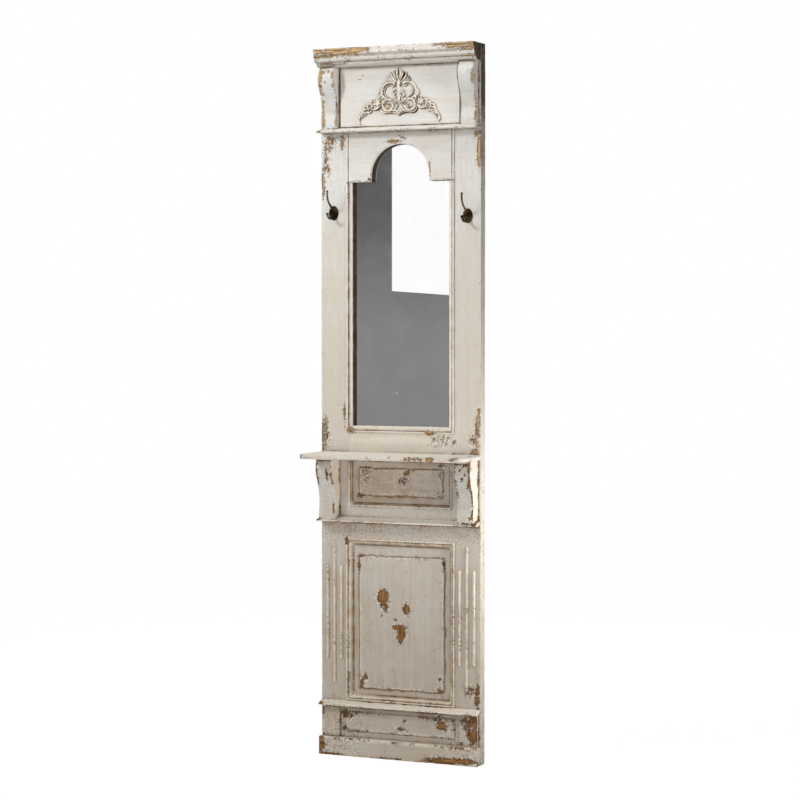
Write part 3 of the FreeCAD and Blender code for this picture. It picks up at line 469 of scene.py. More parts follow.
def node_box(name: str) -> tuple[Array, Array]:
    """Corners of a CAD node.

    Args:
        name: Name of the node.

    Returns:
        Lowest and highest corner in millimetres.
    """
    low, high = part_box(name)
    return np.array(low) / MM, np.array(high) / MM


# Finishes

def node(
    tree: bpy.types.NodeTree, kind: str, sockets: dict[Any, Any] | None = None, **settings: Any,
) -> bpy.types.Node:
    """Adds a node, sets it and links it.

    Args:
        tree: Node tree of a material or world.
        kind: Node type without its ShaderNode prefix.
        sockets: Input name or number to a value, or to the output socket that feeds it.
        settings: Properties of the node.

    Returns:
        The node.
    """
    made = tree.nodes.new("ShaderNode" + kind)
    for key, value in settings.items():
        setattr(made, key, value)
    for key, value in (sockets or {}).items():
        if isinstance(value, bpy.types.NodeSocket):
            tree.links.new(value, made.inputs[key])
        else:
            made.inputs[key].default_value = value
    return made


def empty_material(name: str) -> tuple[bpy.types.Material, bpy.types.NodeTree]:
    """A material with nothing in its tree.

    Args:
        name: Name of the real material.

    Returns:
        The material and its tree.
    """
    material = bpy.data.materials.new(name)
    material.use_nodes = True
    material.node_tree.nodes.clear()
    return material, material.node_tree


@dataclass(frozen=True)
class ChippedPaint:
    """Brushed milk paint over pine: crackled, chipped and glazed in the recesses, with painted light and
    shade.
    """

    grain: Grain
    name: str = "chipped_milk_paint"
    cool: str = "#DDDDDA"
    warm: str = "#DAD5CD"
    streak: str = "#C6BBAD"
    low: str = "#B6AFA5"
    low_warm: str = "#AEA394"
    brightened: str = "#EEE9E1"
    brightened_low: str = "#E6DCC9"
    glaze_and_shade: str = "#886741"
    blacken: str = "#1C140C"
    wood: str = "#7C5633"
    pale_wood: str = "#A57E50"
    dark_wood: str = "#4B3019"
    tan_wood: str = "#D3B78C"
    cream: str = "#D5C6AD"
    recess: float = 0.85
    reach: float = 0.012

    def build(self) -> bpy.types.Material:
        """Makes the material.

        Returns:
            Paint, crackle, chips and bare wood driven by the mesh's wear, dry, rub with painted highlight,
            and grime with painted shade.
        """
        material, tree = empty_material(f"{self.name}_{self.grain.name.lower()}")
        place = node(tree, "TexCoord").outputs["Object"]
        along = node(tree, "Mapping", {"Vector": place, "Scale": self.grain.value}).outputs["Vector"]
        height = node(tree, "SeparateXYZ", {0: place}).outputs["Z"]
        shut = node(tree, "AmbientOcclusion", {"Distance": self.reach}, samples=8).outputs["AO"]
        wear, dry, rub_and_highlight, grime_and_shade = (
            node(tree, "Attribute", attribute_name=label).outputs["Fac"]
            for label in ("wear", "dry", "rub_and_highlight", "grime_and_shade"))
        flake, patch, left, crumb, stroke, band, cloud, fibre = (
            node(tree, "TexNoise", {
                "Vector": at, "Scale": scale, "Detail": detail, "Roughness": rough}).outputs["Fac"]
            for at, scale, detail, rough in (
                # Flakes some 8 mm across tear the outline of a chip, 30 mm patches decide where it spreads
                (place, 125.0, 6.0, 0.74), (place, 33.0, 3.0, 0.55),
                # Crumbs some 3 mm across stay behind inside a chip
                (place, 340.0, 2.0, 0.6),
                # Crackle is drawn at 5 mm, coarser than the real 1 mm, so that it shows at this distance
                (place, 215.0, 3.0, 0.66),
                # Brush strokes some 3 mm wide follow the grain, as do the 15 mm bands that a brush leaves
                (along, 330.0, 4.0, 0.7), (along, 66.0, 3.0, 0.6),
                # Clouds of 100 mm in the paint, and fibres some 4 mm wide in the bare wood
                (place, 10.0, 5.0, 0.5), (along, 230.0, 6.0, 0.75)))
        lost = wear
        for pattern, share in ((flake, 1.8), (patch, 0.5), (left, 1.2)):
            lost = node(tree, "Math", {0: pattern, 1: share, 2: lost}, operation="MULTIPLY_ADD").outputs[0]
        lost = node(tree, "Math", {0: lost, 1: 0.6}, operation="SUBTRACT").outputs[0]
        mixed = node(tree, "Math", {0: cloud, 1: band}, operation="ADD").outputs[0]
        level = {
            name: node(tree, "MapRange", {0: value, 1: first, 2: last, 3: start, 4: end}).outputs[0]
            for name, value, first, last, start, end in (
                # Wood shows through the torn film, with a dark rim where the chip was placed
                ("bare", lost, 1.56, 1.66, 0.0, 1.0), ("rim", lost, 1.38, 1.47, 0.0, 1.0),
                ("near", wear, 0.04, 0.2, 0.0, 1.0),
                # Dry paint cracks in pits and curls up between them
                ("pit", crumb, 0.55, 0.63, 0.0, 1.0), ("curl", crumb, 0.47, 0.38, 0.0, 0.95),
                # Tone of the film, its strokes and its fine mottle
                ("tone", mixed, 0.86, 1.18, 0.0, 1.0), ("brushed", stroke, 0.46, 0.74, 0.0, 0.5),
                ("fleck", crumb, 0.5, 0.7, 0.0, 0.35),
                # Dirt sits in the pores of the film, more of it near the floor
                ("pores", crumb, 0.54, 0.64, 0.0, 1.0), ("where", patch, 0.44, 0.62, 0.0, 1.0),
                ("dirty", height, 1.1, 0.3, 0.08, 0.55),
                # Edges are rubbed pale and painted highlights are pale, recesses hold glaze in patches, and
                # the worst grime and painted shade are black
                ("bright", rub_and_highlight, 0.15, 0.75, 0.0, 0.82), ("deep", shut, 0.92, 0.42, 0.0, self.recess),
                ("cloudy", patch, 0.3, 0.62, 0.35, 1.05), ("black", grime_and_shade, 0.8, 1.0, 0.0, 0.9),
                # Fibres of the wood, which is paler near the top and on the shelf
                ("pale", fibre, 0.46, 0.66, 0.0, 1.0), ("dark", fibre, 0.53, 0.4, 0.0, 0.9),
                ("high", height, 1.3, 1.75, 0.0, 0.85), ("waist", height, 0.83, 0.88, 0.0, 0.5),
                ("dull", stroke, 0.0, 1.0, 0.65, 0.9))}
        # The paint is darker towards the floor as painted shade for light from above, warmer there, and has
        # yellowed most beside the mirror
        toned, upper, lower = (
            node(tree, "MapRange", {
                0: height, 1: first, 2: last, 4: most}, interpolation_type="SMOOTHSTEP").outputs[0]
            for first, last, most in ((1.45, 0.3, 1.0), (1.62, 1.3, 0.42), (0.78, 1.06, 1.0)))
        stain_and_shade, sunned = (
            node(tree, "Math", {0: one, 1: two}, operation="MAXIMUM").outputs[0]
            for one, two in ((grime_and_shade, level["deep"]), (level["high"], level["waist"])))
        rim, crack, curl, yellow, specked, faded = (
            node(tree, "Math", {0: one, 1: two}, operation="MULTIPLY").outputs[0]
            for one, two in (
                (level["rim"], level["near"]), (level["pit"], dry), (level["curl"], dry), (upper, lower),
                (level["pores"], level["where"]), (sunned, 0.95)))
        specked = node(tree, "Math", {0: specked, 1: level["dirty"]}, operation="MULTIPLY").outputs[0]
        stain_and_shade = node(tree, "Math", {
            0: stain_and_shade, 1: level["cloudy"]}, operation="MULTIPLY", use_clamp=True).outputs[0]
        colour, low_tone_and_shade, crest, edge, wood = (
            node(tree, "Mix", {0: share, 6: linear(one), 7: linear(two)}, data_type="RGBA").outputs[2]
            for share, one, two in (
                (level["tone"], self.cool, self.warm), (level["tone"], self.low, self.low_warm),
                (toned, self.brightened, self.brightened_low), (faded, self.dark_wood, self.glaze_and_shade),
                (level["pale"], self.wood, self.pale_wood)))
        for share, over in ((sunned, self.tan_wood), (level["dark"], self.dark_wood)):
            wood = node(tree, "Mix", {0: share, 6: wood, 7: linear(over)}, data_type="RGBA").outputs[2]
        # From the film up: lower tone and painted shade, yellowing, strokes, dirt, rubbed edges and painted
        # highlight, glaze and painted shade, black, crackle, chips
        glaze_and_shade, streak, dark = linear(self.glaze_and_shade), linear(self.streak), linear(self.dark_wood)
        for share, over in (
                (toned, low_tone_and_shade), (yellow, linear(self.cream)), (level["brushed"], streak),
                (level["fleck"], streak), (specked, glaze_and_shade), (level["bright"], crest), (stain_and_shade, glaze_and_shade),
                (level["black"], linear(self.blacken)), (curl, crest), (crack, dark), (rim, edge),
                (level["bare"], wood)):
            colour = node(tree, "Mix", {0: share, 6: colour, 7: over}, data_type="RGBA").outputs[2]
        film = 1.0
        for pattern, share in ((stroke, 0.25), (crack, -0.6), (level["bare"], -0.9), (fibre, 0.3)):
            film = node(tree, "Math", {0: pattern, 1: share, 2: film}, operation="MULTIPLY_ADD").outputs[0]
        bump = node(tree, "Bump", {"Height": film, "Strength": 0.7, "Distance": 0.0012}).outputs[0]
        shader = node(tree, "BsdfPrincipled", {
            "Base Color": colour, "Roughness": level["dull"], "Normal": bump,
            "Specular IOR Level": 0.15}).outputs[0]
        node(tree, "OutputMaterial", {"Surface": shader})
        return material


@dataclass(frozen=True)
class BarePine:
    """Unpainted pine of the back: straight grain under old dust."""

    grain: Grain
    early: str = "#BF9A6C"
    late: str = "#94693F"
    dust: str = "#8C7A66"

    def build(self) -> bpy.types.Material:
        """Makes the material.

        Returns:
            Grain lines along the board under a thin dust.
        """
        material, tree = empty_material(f"bare_pine_{self.grain.name.lower()}")
        place = node(tree, "TexCoord").outputs["Object"]
        along = node(tree, "Mapping", {"Vector": place, "Scale": self.grain.value}).outputs["Vector"]
        # Growth rings stand 4 mm apart on a flat-sawn board
        sway = node(tree, "TexNoise", {"Vector": along, "Scale": 24.0, "Detail": 3.0}).outputs["Color"]
        bent = node(tree, "MixRGB", {0: 0.03, 1: along, 2: sway}, blend_type="ADD").outputs[0]
        rings = node(tree, "TexNoise", {
            "Vector": bent, "Scale": 260.0, "Detail": 6.0, "Roughness": 0.72}).outputs["Fac"]
        late = node(tree, "MapRange", {0: rings, 1: 0.4, 2: 0.66}).outputs[0]
        wood = node(tree, "Mix", {
            0: late, 6: linear(self.early), 7: linear(self.late)}, data_type="RGBA").outputs[2]
        soil = node(tree, "TexNoise", {"Vector": place, "Scale": 9.0, "Detail": 4.0}).outputs["Fac"]
        dusty = node(tree, "MapRange", {0: soil, 1: 0.4, 2: 0.7, 4: 0.6}).outputs[0]
        colour = node(tree, "Mix", {0: dusty, 6: wood, 7: linear(self.dust)}, data_type="RGBA").outputs[2]
        bump = node(tree, "Bump", {"Height": rings, "Strength": 0.5, "Distance": 0.0006}).outputs[0]
        dull = node(tree, "MapRange", {0: rings, 3: 0.65, 4: 0.85}).outputs[0]
        shader = node(tree, "BsdfPrincipled", {
            "Base Color": colour, "Roughness": dull, "Normal": bump}).outputs[0]
        node(tree, "OutputMaterial", {"Surface": shader})
        return material


@dataclass(frozen=True)
class Hardboard:
    """Pressed fibre sheet behind the glass: brown, mottled, with a screen pattern."""

    fibre: str = "#7A5434"
    light: str = "#94693F"

    def build(self) -> bpy.types.Material:
        """Makes the material.

        Returns:
            Mottled fibre with the mesh print of its press.
        """
        material, tree = empty_material("hardboard")
        place = node(tree, "TexCoord").outputs["Object"]
        fleck = node(tree, "TexNoise", {
            "Vector": place, "Scale": 420.0, "Detail": 5.0, "Roughness": 0.7}).outputs["Fac"]
        colour = node(tree, "Mix", {
            0: fleck, 6: linear(self.fibre), 7: linear(self.light)}, data_type="RGBA").outputs[2]
        # Wires of the press screen are drawn 6 mm apart, coarser than the real 2 mm, so that they show
        across, up = (
            node(tree, "TexWave", {"Vector": place, "Scale": 52.0}, bands_direction=axis).outputs["Fac"]
            for axis in "XZ")
        screen = node(tree, "Math", {0: across, 1: up}, operation="MULTIPLY").outputs[0]
        print_ = node(tree, "Math", {0: fleck, 1: 0.5, 2: screen}, operation="MULTIPLY_ADD").outputs[0]
        bump = node(tree, "Bump", {"Height": print_, "Strength": 0.4, "Distance": 0.0005}).outputs[0]
        dull = node(tree, "MapRange", {0: fleck, 3: 0.6, 4: 0.8}).outputs[0]
        shader = node(tree, "BsdfPrincipled", {
            "Base Color": colour, "Roughness": dull, "Normal": bump}).outputs[0]
        node(tree, "OutputMaterial", {"Surface": shader})
        return material


@dataclass(frozen=True)
class SilveredMirror:
    """Old silvered glass: a clean reflection with a film of dust and a few lost specks."""

    silver: str = "#FFFFFF"
    haze: str = "#FAFAFA"
    speck: str = "#EDEDEA"

    def build(self) -> bpy.types.Material:
        """Makes the material.

        Returns:
            Mirror whose haze and specks come from patterns on the glass.
        """
        material, tree = empty_material("silvered_mirror")
        place = node(tree, "TexCoord").outputs["Object"]
        smear = node(tree, "TexNoise", {
            "Vector": place, "Scale": 11.0, "Detail": 6.0, "Roughness": 0.65}).outputs["Fac"]
        # Dust grains are drawn 4 mm apart, coarser than real dust, so that they show at this distance
        grain = node(tree, "TexNoise", {
            "Vector": place, "Scale": 250.0, "Detail": 3.0, "Roughness": 0.7}).outputs["Fac"]
        dusty = node(tree, "Math", {0: smear, 1: grain}, operation="MULTIPLY").outputs[0]
        film = node(tree, "MapRange", {0: dusty, 1: 0.2, 2: 0.42, 3: 0.0, 4: 0.08}).outputs[0]
        # Specks are 4 mm across and some 40 mm apart
        spots = node(tree, "TexVoronoi", {"Vector": place, "Scale": 24.0}).outputs["Distance"]
        dots = node(tree, "MapRange", {0: spots, 1: 0.04, 2: 0.055, 3: 0.75, 4: 0.0}).outputs[0]
        tint = node(tree, "Mix", {
            0: smear, 6: linear(self.silver), 7: linear(self.haze)}, data_type="RGBA").outputs[2]
        rough = node(tree, "MapRange", {0: smear, 1: 0.3, 2: 0.8, 3: 0.0, 4: 0.02}).outputs[0]
        glass = node(tree, "BsdfPrincipled", {
            "Base Color": tint, "Metallic": 1.0, "Roughness": rough}).outputs[0]
        dust = node(tree, "BsdfPrincipled", {"Base Color": linear(self.speck), "Roughness": 0.9}).outputs[0]
        share = node(tree, "Math", {0: film, 1: dots}, operation="MAXIMUM").outputs[0]
        shader = node(tree, "MixShader", {0: share, 1: glass, 2: dust}).outputs[0]
        node(tree, "OutputMaterial", {"Surface": shader})
        return material


@dataclass(frozen=True)
class CastMetal:
    """Cast or plated metal: dark in the hollows and bright where hands rub it."""

    name: str
    dark: str
    bright: str
    roughness: float

    def build(self) -> bpy.types.Material:
        """Makes the material.

        Returns:
            Metal whose bright places follow the mesh's wear and a fine mottle.
        """
        material, tree = empty_material(self.name)
        place = node(tree, "TexCoord").outputs["Object"]
        wear = node(tree, "Attribute", attribute_name="wear").outputs["Fac"]
        # Casting skin, mottled at 4 mm
        mottle = node(tree, "TexNoise", {
            "Vector": place, "Scale": 260.0, "Detail": 5.0, "Roughness": 0.65}).outputs["Fac"]
        brightened = node(tree, "Math", {0: mottle, 1: 0.9, 2: wear}, operation="MULTIPLY_ADD").outputs[0]
        bright = node(tree, "MapRange", {0: brightened, 1: 0.5, 2: 1.1}).outputs[0]
        colour = node(tree, "Mix", {
            0: bright, 6: linear(self.dark), 7: linear(self.bright)}, data_type="RGBA").outputs[2]
        dull = node(tree, "MapRange", {
            0: mottle, 1: 0.3, 2: 0.7, 3: self.roughness - 0.1, 4: self.roughness + 0.12}).outputs[0]
        bump = node(tree, "Bump", {"Height": mottle, "Strength": 0.3, "Distance": 0.0004}).outputs[0]
        shader = node(tree, "BsdfPrincipled", {
            "Base Color": colour, "Metallic": 1.0, "Roughness": dull, "Normal": bump}).outputs[0]
        node(tree, "OutputMaterial", {"Surface": shader})
        return material


@dataclass
class Finishes:
    """The materials of the mirror, one of each."""

    paint: dict[Grain, bpy.types.Material]
    cool_paint: bpy.types.Material
    carved_paint: bpy.types.Material
    shelf_paint: bpy.types.Material
    ochre_paint: bpy.types.Material
    pine: dict[Grain, bpy.types.Material]
    hardboard: bpy.types.Material
    mirror: bpy.types.Material
    bronze: bpy.types.Material
    zinc: bpy.types.Material

    @staticmethod
    def mixed() -> "Finishes":
        """All finishes, ready to use."""
        return Finishes(
            paint={grain: ChippedPaint(grain).build() for grain in Grain},
            # Corbels are greyer, the carving holds a yellow glaze in fine hollows and has paler crests as a
            # painted highlight, the shelf and ledges are paler as a painted highlight for light from above
            # and hold less glaze, and the small panel is ochre
            cool_paint=ChippedPaint(
                Grain.UPRIGHT, "cool_milk_paint", cool="#D9DCDB", warm="#D3D3CE", low="#B9B3A9",
                low_warm="#B2A89B", recess=0.5).build(),
            carved_paint=ChippedPaint(
                Grain.LEVEL, "carved_milk_paint", brightened="#F6F0E2", blacken="#35240F", recess=0.2, reach=0.003,
                glaze_and_shade="#B08048").build(),
            shelf_paint=ChippedPaint(
                Grain.LEVEL, "shelf_milk_paint", warm="#DDD6CB", low="#CBC4B9", low_warm="#C6BBAA",
                recess=0.25).build(),
            ochre_paint=ChippedPaint(
                Grain.LEVEL, "ochre_milk_paint", warm="#D2CABD", low="#A69D8E", low_warm="#9E907B",
                glaze_and_shade="#8A6232").build(),
            pine={grain: BarePine(grain).build() for grain in Grain},
            hardboard=Hardboard().build(),
            mirror=SilveredMirror().build(),
            bronze=CastMetal("antique_bronze", "#211A14", "#A08B58", 0.4).build(),
            zinc=CastMetal("zinc_plated_steel", "#8E8F8C", "#C9CAC6", 0.38).build(),
        )


# Pieces

def spread(value: Array, one: Array, two: Array, rounds: int, keep: float) -> Array:
    """Carries a value from each point to its neighbours, weaker with each step.

    Args:
        value: Value of every point.
        one: First point of every edge.
        two: Second point of every edge.
        rounds: Number of steps.
        keep: Share that is left after a step.

    Returns:
        The widened value.
    """
    for _ in range(rounds):
        wide = value.copy()
        np.maximum.at(wide, one, keep * value[two])
        np.maximum.at(wide, two, keep * value[one])
        value = wide
    return value


@dataclass
class Skin:
    """Points of a mesh in millimetres, how far each is on an edge or in a hollow, and two noises."""

    points: Array
    normals: Array
    edge: Array
    hollow: Array
    broad: Array
    fine: Array

    @staticmethod
    def of(mesh: bpy.types.Mesh, seep: int) -> "Skin":
        """Reads a mesh: a point over the mean of its neighbours is on an edge, one under it in a hollow.

        Both spread to the neighbours.

        Args:
            mesh: Mesh with its normals outward.
            seep: Number of points that a hollow spreads.

        Returns:
            The skin.
        """
        count = len(mesh.vertices)
        points, normals = np.empty(count * 3), np.empty(count * 3)
        edges = np.empty(len(mesh.edges) * 2, dtype=np.int32)
        mesh.vertices.foreach_get("co", points)
        mesh.vertex_normals.foreach_get("vector", normals)
        mesh.edges.foreach_get("vertices", edges)
        points, normals = points.reshape(-1, 3) / MM, normals.reshape(-1, 3)
        one, two = edges.reshape(-1, 2).T
        step = points[one] - points[two]
        step /= np.linalg.norm(step, axis=1, keepdims=True) + 1e-9
        bulge, number = np.zeros(count), np.full(count, 1e-9)
        np.add.at(bulge, one, np.sum(normals[one] * step, axis=1))
        np.add.at(bulge, two, -np.sum(normals[two] * step, axis=1))
        np.add.at(number, np.concatenate([one, two]), 1.0)
        bulge /= number
        edge, hollow = np.clip(bulge / 0.1, 0.0, 1.0), np.clip(-bulge / 0.06, 0.0, 1.0)
        return Skin(
            points, normals, spread(edge, one, two, 2, 0.72),
            spread(hollow, one, two, seep, 0.5 + 0.15 * seep),
            lattice_noise(points, 38.0, 3), lattice_noise(points, 11.0, 5))


@dataclass
class Piece:
    """A finished piece that stands for CAD nodes.

    Attributes:
        surface: Its form.
        nodes: CAD nodes that it replaces.
        slot: Its finish slot, not used.
        edge_wear: How bare its edges are.
        rub_and_highlight: How pale its edges are rubbed, and how strong the painted highlight on carved
            crests is.
        recess: How much grime its hollows hold.
        seep: How many points further that grime creeps.
        dent: Depth of the dents in its edges.
        joint: X of a flush joint, where no edge shows.
        blacken_line: Distance from the wall under which its walls are black.
        crest: Distance from the wall at which carving is rubbed pale and gets a painted highlight; it also
            puts painted shade on the lee of the strokes.
        stain_and_shade: Distance from the wall under which old glaze is left, with painted shade on faces
            that look down or left.
        cheek: Glaze on the faces that look right, which also get a painted highlight.
        top_highlight: How strong the painted highlight on its upper face is.
        dirt: First and last X of a black line.
        cast: Painted shadow that the piece in front of it casts.
        chips: Places where its paint has come off.
    """

    surface: Surface
    nodes: Sequence[str]
    slot: str = "chipped_paint"
    edge_wear: float = 0.3
    rub_and_highlight: float = 0.7
    recess: float = 0.78
    seep: int = 1
    dent: float = 1.1
    joint: float = 0.0
    blacken_line: float = 0.0
    crest: float = 0.0
    stain_and_shade: float = 0.0
    cheek: float = 0.0
    top_highlight: float = 0.0
    dirt: tuple[float, float] = (0.0, 0.0)
    cast: Callable[[Array], Array] | None = None
    chips: Sequence[Chip] = CHIPS

    def make(self, front: bpy.types.Material, back: bpy.types.Material | None = None) -> None:
        """Turns the surface into an object and hands it to the frame.

        Args:
            front: Material of the piece.
            back: Material of the faces that look at the wall, where it differs.
        """
        name = f"{self.nodes[0]}_dressed"
        points, faces = self.surface.faces()
        mesh = bpy.data.meshes.new(name)
        mesh.from_pydata((points * MM).tolist(), [], faces)
        shell = bmesh.new()
        shell.from_mesh(mesh)
        bmesh.ops.recalc_face_normals(shell, faces=shell.faces)
        shell.to_mesh(mesh)
        shell.free()
        self.age(mesh)
        mesh.polygons.foreach_set("use_smooth", np.ones(len(mesh.polygons), dtype=bool))
        mesh.set_sharp_from_angle(angle=math.radians(SHARP))
        mesh.materials.append(front)
        if back:
            mesh.materials.append(back)
            normals = np.empty(len(mesh.polygons) * 3)
            mesh.polygons.foreach_get("normal", normals)
            mesh.polygons.foreach_set("material_index", (normals[1::3] > 0.5).astype(np.int32))
        made = bpy.data.objects.new(name, mesh)
        bpy.context.scene.collection.objects.link(made)
        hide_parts(*self.nodes)
        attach(made, PANEL)
        LOG.info("%s: %d faces", name, len(mesh.polygons))

    def age(self, mesh: bpy.types.Mesh) -> None:
        """Writes wear, crackle, rub with painted highlight, and grime with painted shade of every point,
        and dents the worn edges inwards.

        The black covers all the others.

        Args:
            mesh: Mesh with its normals outward.
        """
        skin = Skin.of(mesh, self.seep)
        points = skin.points
        if self.joint:
            skin.edge *= ramp(np.abs(np.abs(points[:, 0]) - self.joint), 3.0, 8.0)
        if self.dent:
            depth = self.dent * skin.edge * ramp(skin.fine, 0.5, 0.85) + 0.25 * skin.broad
            dented = points - skin.normals * depth[:, None]
            dented = np.clip(dented, points.min(axis=0), points.max(axis=0))
            mesh.vertices.foreach_set("co", (dented * MM).reshape(-1))
        blacken = self.blacken(skin)
        clean = 1.0 - np.clip(blacken, 0.0, 1.0)
        worn = skin.edge * self.edge_wear * ramp(0.6 * skin.broad + 0.4 * skin.fine, 0.32, 0.68)
        loss, dry = self.chipped(skin)
        layers = {
            "wear": np.maximum(worn, loss) * clean, "dry": dry * clean, "rub_and_highlight": self.brightened(skin) * clean,
            "grime_and_shade": np.maximum(self.grime_and_shade(skin), blacken)}
        for label, value in layers.items():
            layer = mesh.attributes.new(label, "FLOAT", "POINT")
            layer.data.foreach_set("value", value.astype(np.float32))

    def blacken(self, skin: Skin) -> Array:
        """Black on the walls that lie behind a given distance from the wall, and along a given band.

        Args:
            skin: Points of the piece.

        Returns:
            Black from 0 to 1 and a little over.
        """
        x, out = skin.points[:, 0], -skin.points[:, 1]
        blacken = np.zeros(len(x))
        if self.blacken_line:
            blacken = ramp(out, self.blacken_line + 1.0, self.blacken_line - 1.5) * (skin.normals[:, 1] > -0.6)
        if self.dirt[1] > self.dirt[0]:
            line = (x > self.dirt[0]) & (x < self.dirt[1]) & (skin.normals[:, 0] > -0.75)
            blacken = np.maximum(blacken, line * (0.9 + 0.2 * skin.fine))
        return blacken

    def brightened(self, skin: Skin) -> Array:
        """How pale the paint is made: rubbed edges and crests, and painted highlights over the black walls,
        on crests, tops and cheeks.

        Args:
            skin: Points of the piece.

        Returns:
            Rub and painted highlight from 0 up.
        """
        out, normals = -skin.points[:, 1], skin.normals
        rub_and_highlight = self.rub_and_highlight * skin.edge * (0.4 + 0.9 * skin.fine)
        # Painted highlight on the rounded edge over the black wall
        if self.blacken_line:
            above = ramp(out, self.blacken_line + 0.5, self.blacken_line + 2.5)
            rub_and_highlight = np.maximum(rub_and_highlight, 0.8 * above * ramp(normals[:, 1], -0.95, -0.85))
        # Crests of the carving are rubbed pale and carry a painted highlight
        if self.crest:
            rub_and_highlight = self.rub_and_highlight * ramp(out, self.crest - 3.0, self.crest)
        # Painted highlight on the upper face, for light from above
        if self.top_highlight:
            rub_and_highlight = np.maximum(rub_and_highlight, self.top_highlight * ramp(normals[:, 2], 0.7, 0.95))
        # Painted highlight on the faces that look right
        if self.cheek:
            rub_and_highlight = np.maximum(rub_and_highlight, ramp(normals[:, 0], 0.6, 0.9))
        return rub_and_highlight

    def grime_and_shade(self, skin: Skin) -> Array:
        """Old glaze, dirt and painted shade: the strongest of all that the piece's form and place give.

        Glaze lies in hollows, on cheeks, on low steps and on the small panel. Painted shade lies on the lee
        of carving, in the shadow a piece in front casts, below each ledge, up the top of the right side and
        on low steps that look down.

        Args:
            skin: Points of the piece.

        Returns:
            Grime and painted shade from 0 to 1 and a little over.
        """
        x, out, up = skin.points[:, 0], -skin.points[:, 1], skin.points[:, 2]
        normals, broad, fine = skin.normals, skin.broad, skin.fine
        grime_and_shade = self.recess * skin.hollow
        darkening = []
        if self.crest:
            grime_and_shade *= 1.0 - ramp(out, self.crest - 3.2, self.crest - 0.8)
            # Painted shade on the lee of each stroke, the slopes that look right and down, away from the
            # light
            darkening.append(ramp(0.75 * normals[:, 0] - 0.66 * normals[:, 2], 0.02, 0.3) * (0.88 + 0.25 * fine))
        if self.cast:
            # Painted shadow that the piece in front casts on this one
            darkening.append(self.cast(skin.points) * (0.86 + 0.3 * fine))
        if self.cheek:
            darkening.append(self.cheek * ramp(normals[:, 0], 0.6, 0.9) * (0.6 + 0.6 * broad))
        else:
            warm = 0.3 * np.exp(-((up - 785.0) / 48.0) ** 2) * (0.2 + 1.2 * broad)
            darkening.append(warm * (normals[:, 1] < -0.5))
        # Painted shadow in a band that fades below each ledge
        for foot, reach in LEDGES:
            below = foot - up
            near = np.maximum(below, 0.0)
            under = 0.6 * np.exp(-near / reach) * (0.45 + 0.8 * broad) + 0.6 * np.exp(-near / 3.0)
            darkening.append(under * (below > -0.5) * (normals[:, 1] < -0.5))
        # Painted shade up the top of the right side, turning black near the cornice
        darkening.append(ramp(up, 1450.0, 1900.0) * ramp(normals[:, 0], 0.7, 0.95) * (x > HALF - 3.0))
        if self.stain_and_shade:
            low = ramp(out, self.stain_and_shade + 3.0, self.stain_and_shade - 1.0) * (0.55 + 0.6 * broad)
            # Painted shade on the faces that look down or left, over the glaze
            shade = np.clip(0.35 - 0.75 * normals[:, 2] - 0.3 * normals[:, 0], 0.1, 1.0)
            darkening.append(0.85 * low * shade * (normals[:, 1] < -0.2))
        return np.maximum.reduce([grime_and_shade, *darkening])

    def chipped(self, skin: Skin) -> tuple[Array, Array]:
        """Paint loss by the placed chips: full inside each ellipse, torn by noise round its rim.

        Crackle reaches up to 17 mm further and fades outwards. Both fade on faces that look sideways, up or
        down, and further back. Crackle also follows worn edges and three zones of dry paint.

        Args:
            skin: Points of the piece.

        Returns:
            Loss and crackle from 0 to 1 at each place.
        """
        points, fine, broad = skin.points, skin.fine, skin.broad
        x, up = points[:, 0], points[:, 2]
        loss, dry = np.zeros(len(points)), np.zeros(len(points))
        tear = lattice_noise(points, 6.0, 9) - 0.5
        for chip in self.chips:
            near = np.hypot((x - chip.x) / chip.half_width, (up - chip.z) / chip.half_height)
            inside = 1.0 - near + (0.9 * (fine - 0.5) + 0.6 * tear) * np.clip(1.7 - near, 0.0, 1.0)
            loss = np.maximum(loss, 0.86 * chip.loss * ramp(inside, -0.6, 0.8))
            wide, tall = (half + min(1.2 * half, 17.0) for half in (chip.half_width, chip.half_height))
            ring = np.hypot((x - chip.x) / wide, (up - chip.z) / tall)
            crackle = ramp(1.0 - ring + 0.45 * (fine - 0.5), 0.0, 0.55)
            dry = np.maximum(dry, min(1.0, 0.25 + chip.loss) * crackle)
        behind = points[:, 1] - points[:, 1].min()
        aside = ramp(np.abs(skin.normals[:, 0]), 0.6, 0.9)
        front = 1.0 - 0.7 * aside
        front *= 1.0 - ramp(np.abs(skin.normals[:, 2]), 0.7, 0.95) * ramp(behind, 3.0, 14.0)
        front *= 1.0 - 0.85 * aside * ramp(behind, 8.0, 28.0)
        zone = 0.35 * np.exp(-((up - 645.0) / 45.0) ** 2) + 0.25 * np.exp(-((up - 775.0) / 60.0) ** 2)
        zone += 0.55 * ramp(up, 240.0, 60.0) * ramp(np.abs(x - 20.0), 60.0, 210.0)
        dry = np.maximum(dry * front, 0.35 * skin.edge * ramp(broad, 0.55, 0.85))
        return loss * front, np.maximum(dry, zone * (0.35 + 0.9 * broad))


